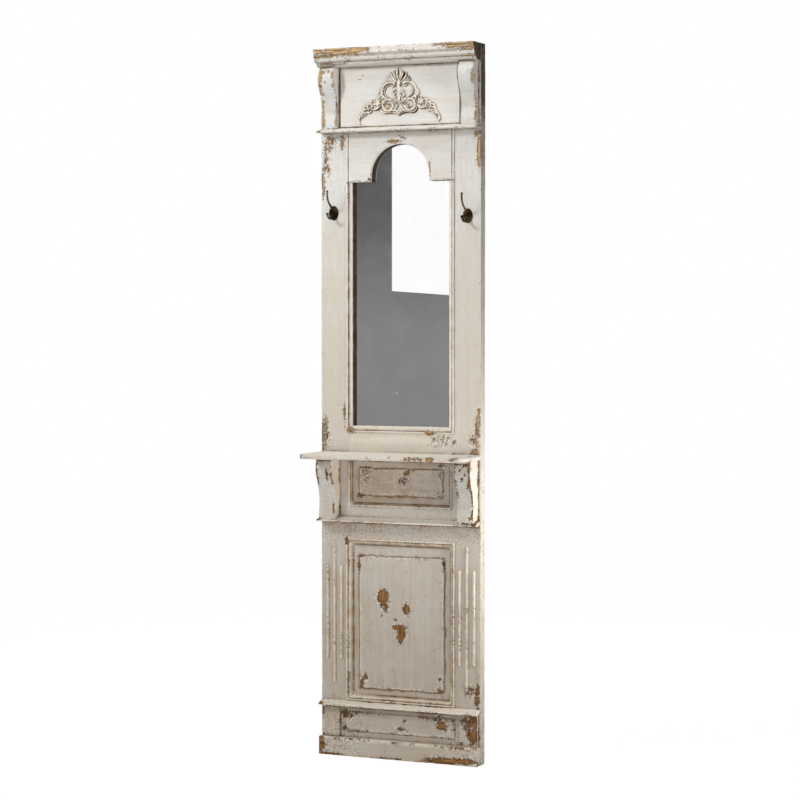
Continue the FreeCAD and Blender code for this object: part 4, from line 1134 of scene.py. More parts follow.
@dataclass
class FaceFrame:
    """Stiles, rails, arch board, frieze board and back battens."""

    arch_radius: float = 88.5
    arch_spring: float = 1642.0
    arch_round: float = 6.5
    arch_front: float = 34.0

    def build(self, finishes: Finishes) -> None:
        """Builds and dresses the boards.

        Args:
            finishes: Materials of the mirror.
        """
        upright, level = finishes.paint[Grain.UPRIGHT], finishes.paint[Grain.LEVEL]
        for side in Side:
            for name in (f"{side.word}_stile", f"{side.word}_back_batten"):
                Piece(board(*node_box(name), 0.7), [name], joint=OPENING).make(
                    upright, finishes.pine[Grain.UPRIGHT])
        for name in ("sill_rail", "lock_rail", "bottom_rail", "frieze_rail"):
            slot = "bare_wood" if name == "frieze_rail" else "chipped_paint"
            paint = finishes.shelf_paint if name == "sill_rail" else level
            Piece(board(*node_box(name), 0.25), [name], slot, joint=OPENING).make(
                paint, finishes.pine[Grain.LEVEL])
        # The black band at the frieze board's left end is painted shade in the gap beside the corbel, and
        # the carving adds its painted shadow
        Piece(board(*node_box("frieze_board"), 1.8, 1.6), ["frieze_board"], dent=0.5,
              dirt=(-190.0, -181.0), cast=Ornament().cast).make(level)
        Piece(self.arch_board(), ["arch_board"], edge_wear=0.25, joint=OPENING, blacken_line=27.5).make(
            level, finishes.pine[Grain.LEVEL])
        for name in ("top_back_batten", "middle_back_batten", "bottom_back_batten"):
            Piece(board(*node_box(name), 1.2, 6.0), [name], "bare_wood").make(finishes.pine[Grain.LEVEL])

    def arch_board(self) -> Surface:
        """Board with an arch: the front stops short of the arch by the rounding, which then turns inward.

        The front is three grids, one beside each stilt and one over the arch, whose lower line is a circle.
        The edge is a quarter circle carried along shoulder, stilt, arch, stilt and shoulder.

        Returns:
            The closed surface.
        """
        low, high = node_box("arch_board")
        ease, radius, spring = self.arch_round, self.arch_radius, self.arch_spring
        share = np.linspace(0.0, 1.0, 40)
        turn = np.linspace(math.pi, 0.0, 73)

        def front_line(inset: float) -> Array:
            """Lower line of the board as rows of (x, z), moved into the wood by an inset."""
            reach = radius + inset
            shoulder = np.linspace(-high[0], -reach, 22)
            left = np.stack([shoulder, np.full(22, low[2] + inset)], axis=1)
            rise = np.linspace(low[2] + inset, spring, 7)[1:]
            stilt = np.stack([np.full(6, -reach), rise], axis=1)
            arch = np.stack([reach * np.cos(turn), spring + reach * np.sin(turn)], axis=1)
            half = np.vstack([left, stilt, arch[1:]])
            rest = np.vstack([left, stilt])[::-1] * np.array([-1.0, 1.0])
            return np.vstack([half[:-1], rest])

        rim = front_line(ease)
        run = np.concatenate([[0.0], np.cumsum(np.linalg.norm(np.diff(rim, axis=0), axis=1))])
        top = np.stack([high[0] * (2 * run / run[-1] - 1), np.full(len(rim), high[2])], axis=1)
        face = rim[None] + share[:, None, None] * (top - rim)[None]
        bend = np.linspace(0.0, math.pi / 2, 7)
        rows = [(front_line(ease * (1 - math.sin(a))), self.arch_front - ease * (1 - math.cos(a)))
                for a in bend]
        rows += [(front_line(0.0), out) for out in (26.0, 24.5, 19.0, HOLLOW)]
        outs = np.concatenate([[HOLLOW], np.full(len(share), self.arch_front)])
        lines = [top] + list(face[::-1]) + [line for line, _ in rows[1:]]
        outs = np.concatenate([outs, [out for _, out in rows[1:]]])
        grid = np.stack([placed(line[:, 0], out, line[:, 1]) for line, out in zip(lines, outs)])
        columns = grid.shape[1]
        surface = Surface(
            grid.reshape(-1, 3),
            np.vstack([grid_quads(*grid.shape[:2]), self.back_quads(*grid.shape[:2])]))
        for end in (0, columns - 1):
            surface.caps.append([row * columns + end for row in range(len(grid))])
        return surface

    @staticmethod
    def back_quads(rows: int, columns: int) -> NDArray[np.int64]:
        """Faces between the last and the first row of a grid."""
        across = np.arange(columns - 1)
        last = (rows - 1) * columns
        return np.stack([last + across, last + across + 1, across + 1, across], axis=1)


@dataclass
class Mouldings:
    """Mitred strips round the mirror, the small panel and the tall panel."""

    bead: float = 6.0
    crest: float = 32.5
    bead_rise: float = 2.5

    def section(self, width: float, lap: float, lip: float, back: float) -> Array:
        """Section of a strip: round bead, slope to the lip, and the part that fits in the opening.

        Args:
            width: Width of the strip.
            lap: How far it lies on the frame.
            lip: Distance of the lip from the wall.
            back: Distance of its back from the wall.

        Returns:
            Closed outline as rows of (inward, out).
        """
        turn = np.linspace(math.pi, 0.0, 11)
        half = self.bead / 2
        round_ = np.stack([half + half * np.cos(turn), self.crest + self.bead_rise * np.sin(turn)], axis=1)
        seat = max(lap, self.bead + 0.6)
        slope = np.array([[seat, self.crest - 0.6], [width - 1.5, lip + 1.5], [width - 0.3, lip + 0.6],
                          [width, lip - 0.6], [width, back], [lap, back], [lap, BODY], [0.0, BODY]])
        return divided(np.vstack([round_, slope]), 2.6)

    @staticmethod
    def strip(side: str, half: float, z0: float, z1: float, section: Array,
              mitres: tuple[bool, bool]) -> Surface:
        """Section carried along one side of a frame; a mitred end runs in by the inward distance.

        Args:
            side: Side of the frame.
            half: Half of the frame's outer width.
            z0: Bottom of the frame.
            z1: Top of the frame.
            section: Closed outline as (inward, out).
            mitres: Whether the first and the last end are mitred.

        Returns:
            The closed surface.
        """
        inward, out = section[:, 0], section[:, 1]
        upright = side in ("left", "right")
        first = (z0 if upright else -half) + mitres[0] * inward
        last = (z1 if upright else half) - mitres[1] * inward
        share = np.linspace(0.0, 1.0, int((z1 - z0 if upright else 2 * half) / 4.0))[:, None]
        run = first[None] + share * (last - first)[None]
        if upright:
            return loft(placed((1 if side == "right" else -1) * (half - inward), out, run))
        return loft(placed(run, out, z0 + inward if side == "bottom" else z1 - inward))

    def build(self, finishes: Finishes) -> None:
        """Builds and dresses the strips.

        Args:
            finishes: Materials of the mirror.
        """
        mirror = self.section(width=19.0, lap=8.0, lip=23.5, back=HOLLOW)
        small = self.section(width=12.0, lap=2.0, lip=25.0, back=23.0)
        tall = self.section(width=20.0, lap=10.0, lip=19.5, back=18.0)
        bead = mirror[(mirror[:, 0] <= 8.0 + 1e-6) & (mirror[:, 1] >= BODY - 1e-6)]
        frames = {
            "mirror": (166.0, 920.0, 1626.0, mirror, ("left", "right", "bottom")),
            "small": (160.0, 710.5, 850.0, small, ("left", "right", "bottom")),
            "tall": (168.0, 156.5, 619.5, tall, ("left", "right", "bottom", "top")),
        }
        for label, (half, z0, z1, section, sides) in frames.items():
            for side in sides:
                name = f"{label}_moulding_{side}"
                upright = side in ("left", "right")
                mitres = (True, "top" in sides) if upright else (True, True)
                surface = self.strip(side, half, z0, z1, section, mitres)
                if label == "mirror" and upright:
                    run_on = self.strip(side, half, z1, 1767.0, divided(bead, 2.6), (False, False))
                    surface = Surface.joined([surface, run_on])
                paint = finishes.paint[Grain.UPRIGHT if upright else Grain.LEVEL]
                if label == "small":
                    paint = finishes.ochre_paint
                blacken = 23.0 if label == "mirror" and upright else 0.0
                # Glaze stays below these depths, with painted shade on its faces that look down or left
                stain_and_shade = {"mirror": 26.0, "small": 29.0, "tall": 28.5}[label]
                wear = 0.12 if label == "mirror" else 0.22
                dirt = (-149.3, -146.0) if name == "mirror_moulding_left" else (0.0, 0.0)
                Piece(surface, [name], edge_wear=wear, rub_and_highlight=0.9, recess=1.0, seep=2, dent=0.4,
                      blacken_line=blacken, stain_and_shade=stain_and_shade, dirt=dirt).make(paint)


@dataclass
class Panels:
    """Raised panels: a flange behind the frame, a flat margin and a field with a worn bevel."""

    play: float = 0.5
    bevel: float = 5.0

    def field(self, x: float, z0: float, z1: float, margin: float, rise: float, corner: float,
              half: float, low: float, high: float, back: float) -> Surface:
        """Margin and field as one height field: the field rises over the bevel, away from its rim.

        Args:
            x: Half width of the field.
            z0: Bottom of the field.
            z1: Top of the field.
            margin: Distance of the margin from the wall.
            rise: How far the field stands over the margin.
            corner: Radius of the field's top corners.
            half: Half width of the panel.
            low: Bottom of the panel.
            high: Top of the panel.
            back: Distance of the back from the wall.

        Returns:
            The closed surface.
        """
        fine = np.linspace(0.0, self.bevel, 6)
        across = np.unique(np.concatenate([
            np.linspace(-half, half, int(2 * half / 3.0)), -x + fine, x - fine]))
        up = np.unique(np.concatenate([
            np.linspace(low, high, int((high - low) / 3.0)), z0 + fine, z1 - fine]))
        flat_x, flat_z = np.meshgrid(across, up)
        beside, over = np.abs(flat_x) - x + corner, flat_z - z1 + corner
        turned = np.hypot(np.maximum(beside, 0.0), np.maximum(over, 0.0))
        turned += np.minimum(np.maximum(beside, over), 0.0)
        inside = -np.maximum(turned - corner, z0 - flat_z)
        places = placed(flat_x, 0.0, flat_z).reshape(-1, 3)
        wave = (lattice_noise(places, 16.0, 21) - 0.5).reshape(flat_x.shape)
        lift = ramp(inside + 2.2 * wave * ramp(-inside, -12.0, 0.0), 0.0, self.bevel)
        return relief(across, up, margin + rise * lift, back)

    def build(self, finishes: Finishes) -> None:
        """Builds and dresses the three panels.

        Args:
            finishes: Materials of the mirror.
        """
        half = OPENING - self.play
        tall = self.field(x=133.0, z0=191.5, z1=571.5, margin=18.0, rise=3.5, corner=15.0,
                          half=half, low=167.0, high=609.0, back=HOLLOW)
        small = self.field(x=130.0, z0=740.5, z1=821.0, margin=23.0, rise=6.0, corner=3.0,
                           half=half, low=713.0, high=849.5, back=HOLLOW)
        for name, surface, grain, stain_and_shade, paint in (
                ("tall_panel", tall, Grain.UPRIGHT, 16.0, finishes.paint[Grain.UPRIGHT]),
                ("small_panel", small, Grain.LEVEL, 31.0, finishes.ochre_paint)):
            low, high = node_box(name)
            low[1], high[1] = -HOLLOW, -(HOLLOW - 5.0)
            whole = Surface.joined([surface, board(low, high, 0.8, 5.0)])
            Piece(whole, [name], edge_wear=0.26, recess=0.95, dent=0.5, stain_and_shade=stain_and_shade).make(
                paint, finishes.pine[grain])
        low, high = node_box("base_panel")
        base = self.field(x=high[0], z0=low[2], z1=high[2], margin=BODY, rise=4.0, corner=2.0,
                          half=high[0], low=low[2], high=high[2], back=BODY)
        Piece(base, ["base_panel"], edge_wear=0.36).make(finishes.paint[Grain.LEVEL])


@dataclass
class Crown:
    """Cornice, ledges, shelf, plinth and base blocks."""

    shelf_out: float = 181.0
    shelf_corner: float = 16.0
    shelf_nose: float = 6.0

    def build(self, finishes: Finishes) -> None:
        """Builds and dresses the planted level pieces.

        Args:
            finishes: Materials of the mirror.
        """
        plinth = eased_outline([
            (BODY, 0.0, 0.0), (53.5, 0.0, 1.5), (53.5, 52.0, 6.0), (BODY, 52.0, 0.0)], 3.2)
        pieces = [("cornice", self.cornice(), 0.36, finishes.shelf_paint)]
        for name, foot, out in (
                ("upper_ledge", 1767.0, 66.5), ("middle_ledge", 668.0, 71.0), ("lower_ledge", 142.0, 57.0)):
            section = eased_outline([
                (BODY, foot, 0.0), (out, foot, 1.2), (out, foot + 4.0, 1.4), (BODY, foot + 14.5, 0.0)], 2.6)
            pieces.append((name, section, 0.38, finishes.shelf_paint))
        pieces.append(("plinth", plinth, 0.36, finishes.paint[Grain.LEVEL]))
        for name, section, wear, paint in pieces:
            Piece(level_moulding(section, -HALF, HALF), [name], edge_wear=wear).make(paint)
        # The shelf's top gets a painted highlight for light from above
        Piece(self.shelf(), ["shelf"], edge_wear=0.25, rub_and_highlight=0.1, dent=0.8, top_highlight=1.0).make(
            finishes.shelf_paint)
        for side in Side:
            name = f"base_block_{side.word}"
            Piece(board(*node_box(name), 1.6), [name]).make(finishes.paint[Grain.UPRIGHT])

    def cornice(self) -> Array:
        """Section of the cornice: fascia, hollow over round, step and quarter round.

        Returns:
            Closed outline as rows of (out, height).
        """
        share = np.linspace(0.0, 1.0, 15)
        sway = 86.5 - 11.5 * share - 1.7 * np.sin(2 * math.pi * share)
        cyma = np.stack([sway, 1983.0 - 19.0 * share], axis=1)
        turn = np.linspace(0.0, 1.0, 12) * math.pi / 2
        ovolo = np.stack([68.0 - 23.0 * (1 - np.cos(turn)), 1963.4 - 13.4 * np.sin(turn)], axis=1)
        line = np.vstack([
            [[BODY, 2000.0], [85.3, 2000.0], [86.5, 1998.8]], cyma, [[74.6, 1963.6]], ovolo,
            [[BODY, 1950.0]]])
        return divided(line, 2.6)

    def shelf(self) -> Surface:
        """Board carried along X: each section is a strip with a round nose, shorter over the round corners.

        Near both ends the section also gets thinner by a quarter circle, which rounds the ends.

        Returns:
            The closed surface.
        """
        nose, corner, low, high = self.shelf_nose, self.shelf_corner, 850.0, 865.0
        turn = np.linspace(0.0, math.pi / 2, 9)
        end = HALF - corner + corner * np.sin(turn)
        along = np.concatenate([-end[::-1], np.linspace(-end[0], end[0], 116)[1:-1], end])
        over = np.maximum(np.abs(along) - (HALF - corner), 0.0)
        front = self.shelf_out - corner + np.sqrt(np.maximum(corner ** 2 - over ** 2, 0.0))
        past = np.clip(np.abs(along) - (HALF - nose), 0.0, nose)
        thin = nose - np.sqrt(nose ** 2 - past ** 2)
        fall = np.maximum(nose - thin, 0.4)
        share = np.linspace(0.0, 1.0, 44)
        sweep = np.linspace(-math.pi / 2, math.pi / 2, 13)[1:-1]
        half = (high - low) / 2 - thin
        reach = front - fall - BODY
        deep = BODY + share[None] * reach[:, None]
        under = np.stack([deep, np.broadcast_to(-half[:, None], deep.shape)], axis=-1)
        sine = np.sin(sweep)[None]
        round_ = np.stack([
            (front - fall)[:, None] + fall[:, None] * np.cos(sweep)[None],
            (half - fall)[:, None] * np.sign(sine) + fall[:, None] * sine], axis=-1)
        above = under[:, ::-1] * np.array([1.0, -1.0])
        section = np.concatenate([under, round_, above], axis=1)
        return loft(placed(along[:, None], section[..., 0], (low + high) / 2 + section[..., 1]))


@dataclass
class Corbels:
    """S-shaped brackets under the cornice and the shelf."""

    inner: float = 188.0
    width: float = 49.5
    edge: float = 3.0
    upper_face: tuple[tuple[float, float], ...] = (
        (17.0, 0.0), (18.5, 0.08), (13.0, 0.3), (21.0, 0.5), (37.5, 0.72), (41.0, 0.84), (29.0, 1.0))
    lower_face: tuple[tuple[float, float], ...] = (
        (35.0, 0.0), (36.5, 0.07), (33.0, 0.3), (40.0, 0.52), (56.0, 0.76), (57.5, 0.86), (52.0, 1.0))

    def curve(self, face: tuple[tuple[float, float], ...], share: Array) -> Array:
        """Stand-out along the height: cubic pieces through the given places with their mean slopes.

        Args:
            face: Places as (stand-out, share of the height).
            share: Shares of the height.

        Returns:
            Stand-out at each share.
        """
        out, at = np.array(face).T
        slope = np.gradient(out, at)
        piece = np.clip(np.searchsorted(at, share, side="right") - 1, 0, len(at) - 2)
        span = at[piece + 1] - at[piece]
        t = (share - at[piece]) / span
        return ((2 * t ** 3 - 3 * t ** 2 + 1) * out[piece] + (t ** 3 - 2 * t ** 2 + t) * span * slope[piece]
                + (3 * t ** 2 - 2 * t ** 3) * out[piece + 1] + (t ** 3 - t ** 2) * span * slope[piece + 1])

    def corbel(self, side: Side, top: float, ledge: float, ledge_out: float,
               face: tuple[tuple[float, float], ...]) -> Surface:
        """Face of the S curve with rounded edges and two cheeks; its foot follows the ledge's slope.

        Args:
            side: Half of the mirror.
            top: Height of its top.
            ledge: Height of the ledge at the body.
            ledge_out: Stand-out of the ledge.
            face: The S curve.

        Returns:
            The closed surface.
        """
        share = np.linspace(0.0, 1.0, 64)
        stand = self.curve(face, share)
        turn = np.linspace(0.0, math.pi / 2, 6)
        cheek = np.linspace(0.0, 1.0, 14)
        flat = np.linspace(self.edge, self.width - self.edge, 16)[1:-1]
        x = np.concatenate([np.zeros(14), self.edge * (1 - np.cos(turn))[1:], flat,
                            self.width - self.edge * (1 - np.cos(turn))[:0:-1], np.full(14, self.width)])
        deep = np.concatenate([cheek, np.ones(5 + len(flat) + 5), cheek[::-1]])
        lift = np.concatenate([
            np.zeros(14), np.sin(turn)[1:], np.ones(len(flat)), np.sin(turn)[:0:-1], np.zeros(14)])
        out = deep[None] * (stand[:, None] - self.edge) + lift[None] * self.edge
        foot = ledge - 10.5 * out / ledge_out
        up = foot + share[:, None] * (top - foot)
        return loft(placed(side.value * (self.inner + x), BODY + out, up))

    def build(self, finishes: Finishes) -> None:
        """Builds and dresses the four corbels.

        Args:
            finishes: Materials of the mirror.
        """
        for side in Side:
            for label, top, ledge, ledge_out, cheek, face in (
                    ("upper", 1950.0, 1781.5, 35.5, 0.08, self.upper_face),
                    ("lower", 850.0, 682.5, 40.0, 0.3, self.lower_face)):
                name = f"{label}_corbel_{side.word}"
                surface = self.corbel(side, top, ledge, ledge_out, face)
                dirt = (186.0, 192.5) if name == "upper_corbel_right" else (0.0, 0.0)
                # Faces that look right get glaze and a painted highlight
                Piece(surface, [name], edge_wear=0.5, cheek=cheek, dirt=dirt).make(finishes.cool_paint)


@dataclass
class Reeds:
    """Half-round beads on the stiles, three to a side."""

    radius: float = 4.6
    pitch: float = 21.5
    middle: float = 204.5

    def build(self, finishes: Finishes) -> None:
        """Builds and dresses the six reeds.

        Args:
            finishes: Materials of the mirror.
        """
        for side in Side:
            for label, step, z0, z1 in (
                ("inner", -1, 274.0, 542.0), ("middle", 0, 205.0, 611.0), ("outer", 1, 274.0, 542.0),
            ):
                name = f"reed_{side.word}_{label}"
                surface = self.reed(side.value * (self.middle + step * self.pitch), z0, z1)
                Piece(surface, [name], edge_wear=0.24, rub_and_highlight=0.8, dent=0.4).make(
                    finishes.paint[Grain.UPRIGHT])

    def reed(self, x: float, z0: float, z1: float) -> Surface:
        """Half circle carried up; over each end its radius follows a quarter circle.

        Args:
            x: Place across.
            z0: Bottom.
            z1: Top.

        Returns:
            The closed surface.
        """
        turn = np.linspace(0.0, math.pi / 2, 7)
        end = self.radius * (1 - np.cos(turn))
        up = np.concatenate([z0 + end, np.arange(z0 + 8.0, z1 - 8.0, 4.0), (z1 - end)[::-1]])
        radius = np.concatenate([np.sin(turn), np.ones(len(up) - 14), np.sin(turn)[::-1]]) * self.radius
        angle = np.linspace(0.0, math.pi, 13)
        across, rise = radius[:, None] * np.cos(angle), radius[:, None] * np.sin(angle)
        return loft(placed(x + across, BODY + rise, up[:, None]))


@dataclass(frozen=True)
class Stroke:
    """A carved stroke: a curve, its half width at both ends and the middle, and its height."""

    path: Array
    widths: tuple[float, float, float]
    height: float
    vein: float = 0.0


@dataclass
class Ornament:
    """Carved rocaille cartouche with leaves, volutes, flowers and tails, the same on both halves."""

    foot: float = 1788.0
    ground: float = 37.0
    cell: float = 0.72

    @staticmethod
    def arc(x: float, z: float, radius: float, first: float, last: float, grow: float = 1.0) -> Array:
        """Arc or spiral as points; the radius changes evenly by a factor from first to last angle."""
        turn = np.radians(np.linspace(first, last, 34))
        reach = radius * np.linspace(1.0, grow, 34)
        return np.stack([x + reach * np.cos(turn), z + reach * np.sin(turn)], axis=1)

    @staticmethod
    def bend(start: tuple[float, float], pull: tuple[float, float], end: tuple[float, float]) -> Array:
        """Parabola from start to end, drawn towards a third place."""
        t = np.linspace(0.0, 1.0, 26)[:, None]
        return (1 - t) ** 2 * np.array(start) + 2 * t * (1 - t) * np.array(pull) + t ** 2 * np.array(end)

    def strokes(self) -> list[Stroke]:
        """Strokes of the right half; heights over the foot.

        Returns:
            C-scrolls, volutes, leaves, flower, garland and tail.
        """
        arc, bend = self.arc, self.bend
        scroll, leaf, thin = (2.2, 3.6, 2.6), (1.6, 4.4, 0.7), (1.0, 2.2, 0.6)
        made = [
            Stroke(arc(28, 90, 24.5, -110, 122), (2.0, 3.4, 2.6), 7.9, 1.8),
            Stroke(arc(27, 90, 17.0, -80, 104), (0.8, 1.7, 0.9), 4.6),
            Stroke(arc(19, 108, 8.0, 60, 340, 0.35), (2.2, 2.4, 2.0), 7.2),
            Stroke(arc(11.5, 80.5, 8.0, -210, 120, 0.3), (2.2, 2.4, 2.0), 7.2),
            Stroke(arc(34, 52, 15.5, -200, 108), scroll, 7.9, 1.8),
            Stroke(arc(34, 52, 9.5, -160, 80), (0.8, 1.4, 0.8), 4.0),
            Stroke(arc(23, 48, 7.0, 180, 470, 0.3), (2.2, 2.3, 2.0), 7.0),
            Stroke(bend((2, 152), (9, 141), (3, 126)), (1.2, 4.0, 2.4), 7.8, 0.5),
            Stroke(bend((13, 145), (17, 137), (8, 123)), (1.0, 3.4, 2.0), 7.2, 0.5),
            Stroke(bend((24, 141), (23, 126), (7, 115)), (0.9, 3.4, 2.0), 6.8, 0.5),
            Stroke(bend((31, 131), (27, 122), (15, 116)), (0.8, 2.6, 1.6), 6.2),
            Stroke(bend((0, 122), (4, 112), (0, 102)), (2.0, 3.6, 2.0), 7.0, 0.8),
            Stroke(bend((0, 100), (10, 98), (17, 88)), (1.2, 3.0, 1.0), 6.6, 1.0),
            Stroke(bend((3, 92), (12, 88), (14, 76)), (1.2, 2.6, 0.9), 6.2, 0.8),
            Stroke(bend((36, 124), (30, 118), (20, 116)), thin, 5.6),
            Stroke(bend((0, 104), (5, 88), (0, 62)), (2.0, 4.6, 1.4), 7.4, 1.6),
            Stroke(bend((0, 62), (8, 56), (18, 60)), (1.4, 2.6, 1.0), 6.4, 1.0),
            Stroke(bend((0, 57), (10, 44), (16, 34)), (1.2, 3.0, 0.9), 6.2, 1.0),
            Stroke(bend((0, 27), (10, 42), (30, 35)), (1.6, 2.4, 2.2), 7.6, 1.4),
            Stroke(bend((0, 21), (12, 35), (40, 28)), (0.9, 1.5, 1.2), 5.4),
            Stroke(bend((40, 29), (54, 30), (57, 44)), (1.4, 2.2, 1.2), 6.4, 1.0),
            Stroke(bend((46, 96), (58, 96), (62, 80)), (1.6, 4.0, 0.8), 7.0, 1.4),
            Stroke(bend((47, 86), (56, 86), (60, 70)), leaf, 6.8, 1.2),
            Stroke(bend((46, 76), (52, 76), (54, 64)), leaf, 6.6, 1.2),
            Stroke(bend((50, 66), (44, 58), (48, 46)), leaf, 6.4, 1.2),
            Stroke(arc(67, 60, 1.6, 0, 360), (2.4, 2.4, 2.4), 7.9),
            Stroke(bend((56, 50), (66, 38), (80, 40)), (1.2, 3.2, 1.6), 6.6, 1.2),
            Stroke(bend((78, 66), (86, 66), (88, 58)), (1.0, 3.0, 1.0), 6.6, 1.0),
            Stroke(arc(89, 49, 8.6, -70, 220, 0.8), (2.0, 2.8, 2.0), 7.4, 1.2),
            Stroke(arc(86, 47, 3.6, 0, 360), (1.8, 1.8, 1.8), 7.0),
            Stroke(bend((84, 38), (92, 30), (98, 34)), (1.0, 3.0, 1.2), 6.4, 1.0),
            Stroke(bend((96, 52), (108, 52), (111, 40)), (1.4, 3.4, 0.8), 7.0, 1.2),
            Stroke(bend((98, 42), (110, 44), (116, 30)), (1.6, 3.6, 1.0), 7.0, 1.3),
            Stroke(bend((98, 34), (116, 36), (122, 18)), (1.6, 3.0, 2.0), 7.2, 1.2),
            Stroke(bend((122, 18), (127, 8), (119, 3)), (2.0, 2.6, 1.6), 6.8, 1.2),
            Stroke(bend((104, 30), (118, 26), (114, 14)), thin, 5.6),
            Stroke(bend((92, 40), (102, 30), (108, 22)), thin, 5.4),
        ]
        for angle in range(0, 360, 60):
            turn = math.radians(angle + 15)
            tip = (67 + 11 * math.cos(turn), 60 + 11 * math.sin(turn))
            pull = (67 + 7 * math.cos(turn + 0.5), 60 + 7 * math.sin(turn + 0.5))
            made.append(Stroke(bend((67, 60), pull, tip), (1.4, 3.4, 1.4), 6.6, 1.0))
        return made

    def heights(self, x: Array, z: Array) -> Array:
        """Height of the carving: each stroke is a half round over its curve, less its vein.

        Args:
            x: Places across, on the right half.
            z: Places over the foot.

        Returns:
            Height over the ground, nothing outside the strokes.
        """
        height = np.zeros(x.shape)
        for stroke in self.strokes():
            knots = np.linspace(0.0, 1.0, len(stroke.path))
            wide = np.interp(knots, [0.0, 0.45, 1.0], stroke.widths)
            low, high = stroke.path.min(axis=0) - 6.0, stroke.path.max(axis=0) + 6.0
            near = (x > low[0]) & (x < high[0]) & (z > low[1]) & (z < high[1])
            path_x, path_z = stroke.path.T
            away = np.hypot(x[near][:, None] - path_x[None], z[near][:, None] - path_z[None])
            share = (away / wide[None]).min(axis=1)
            groove = stroke.vein * np.exp(-(away.min(axis=1) / 0.9) ** 2)
            crown = 0.8 * stroke.height * np.sqrt(np.clip(1.0 - share ** 2, 0.0, 1.0))
            height[near] = np.maximum(height[near], np.maximum(crown - groove * (share < 1.0), 0.0))
        return height

    def cast(self, points: Array) -> Array:
        """Painted shadow that the carving casts on its board, to the lower right of every stroke.

        Args:
            points: Places in millimetres.

        Returns:
            Painted shadow from 0 to 1: full where the carving stands high a little up and to the left of
                the place.
        """
        over = self.heights(np.abs(points[:, 0] - 2.8), points[:, 2] - self.foot + 2.3)
        return ramp(over, 0.4, 2.0)

    def surface(self) -> Surface:
        """Carving as a height field that is kept only where it stands over the ground, with a flat back.

        Returns:
            The closed surface.
        """
        half = np.arange(0.0, 134.0, self.cell)
        up = np.arange(0.4, 157.0, self.cell)
        x, z = np.meshgrid(half, up)
        right = self.heights(x.reshape(-1), z.reshape(-1)).reshape(x.shape)
        height = np.hstack([right[:, :0:-1], right])
        x = np.hstack([-x[:, :0:-1], x])
        z = np.hstack([z[:, :0:-1], z])
        rows, columns = height.shape
        quads = grid_quads(rows, columns)
        flat = height.reshape(-1)
        quads = quads[(flat[quads] > 0.0).any(axis=1)]
        front = placed(x.reshape(-1), self.ground + flat, self.foot + z.reshape(-1))
        back = front * np.array([1.0, 0.0, 1.0]) - np.array([0.0, self.ground, 0.0])
        used, where = np.unique(np.concatenate([quads, quads[:, ::-1] + len(front)]), return_inverse=True)
        return Surface(np.vstack([front, back])[used], where.reshape(-1, 4))

    def build(self, finishes: Finishes) -> None:
        """Builds and dresses the carving.

        Args:
            finishes: Materials of the mirror.
        """
        # Crests get a painted highlight over their rub, and the lee of the strokes gets painted shade
        Piece(self.surface(), ["carved_ornament"], edge_wear=0.0, rub_and_highlight=1.2, recess=0.6, dent=0.0,
              crest=41.0).make(finishes.carved_paint)


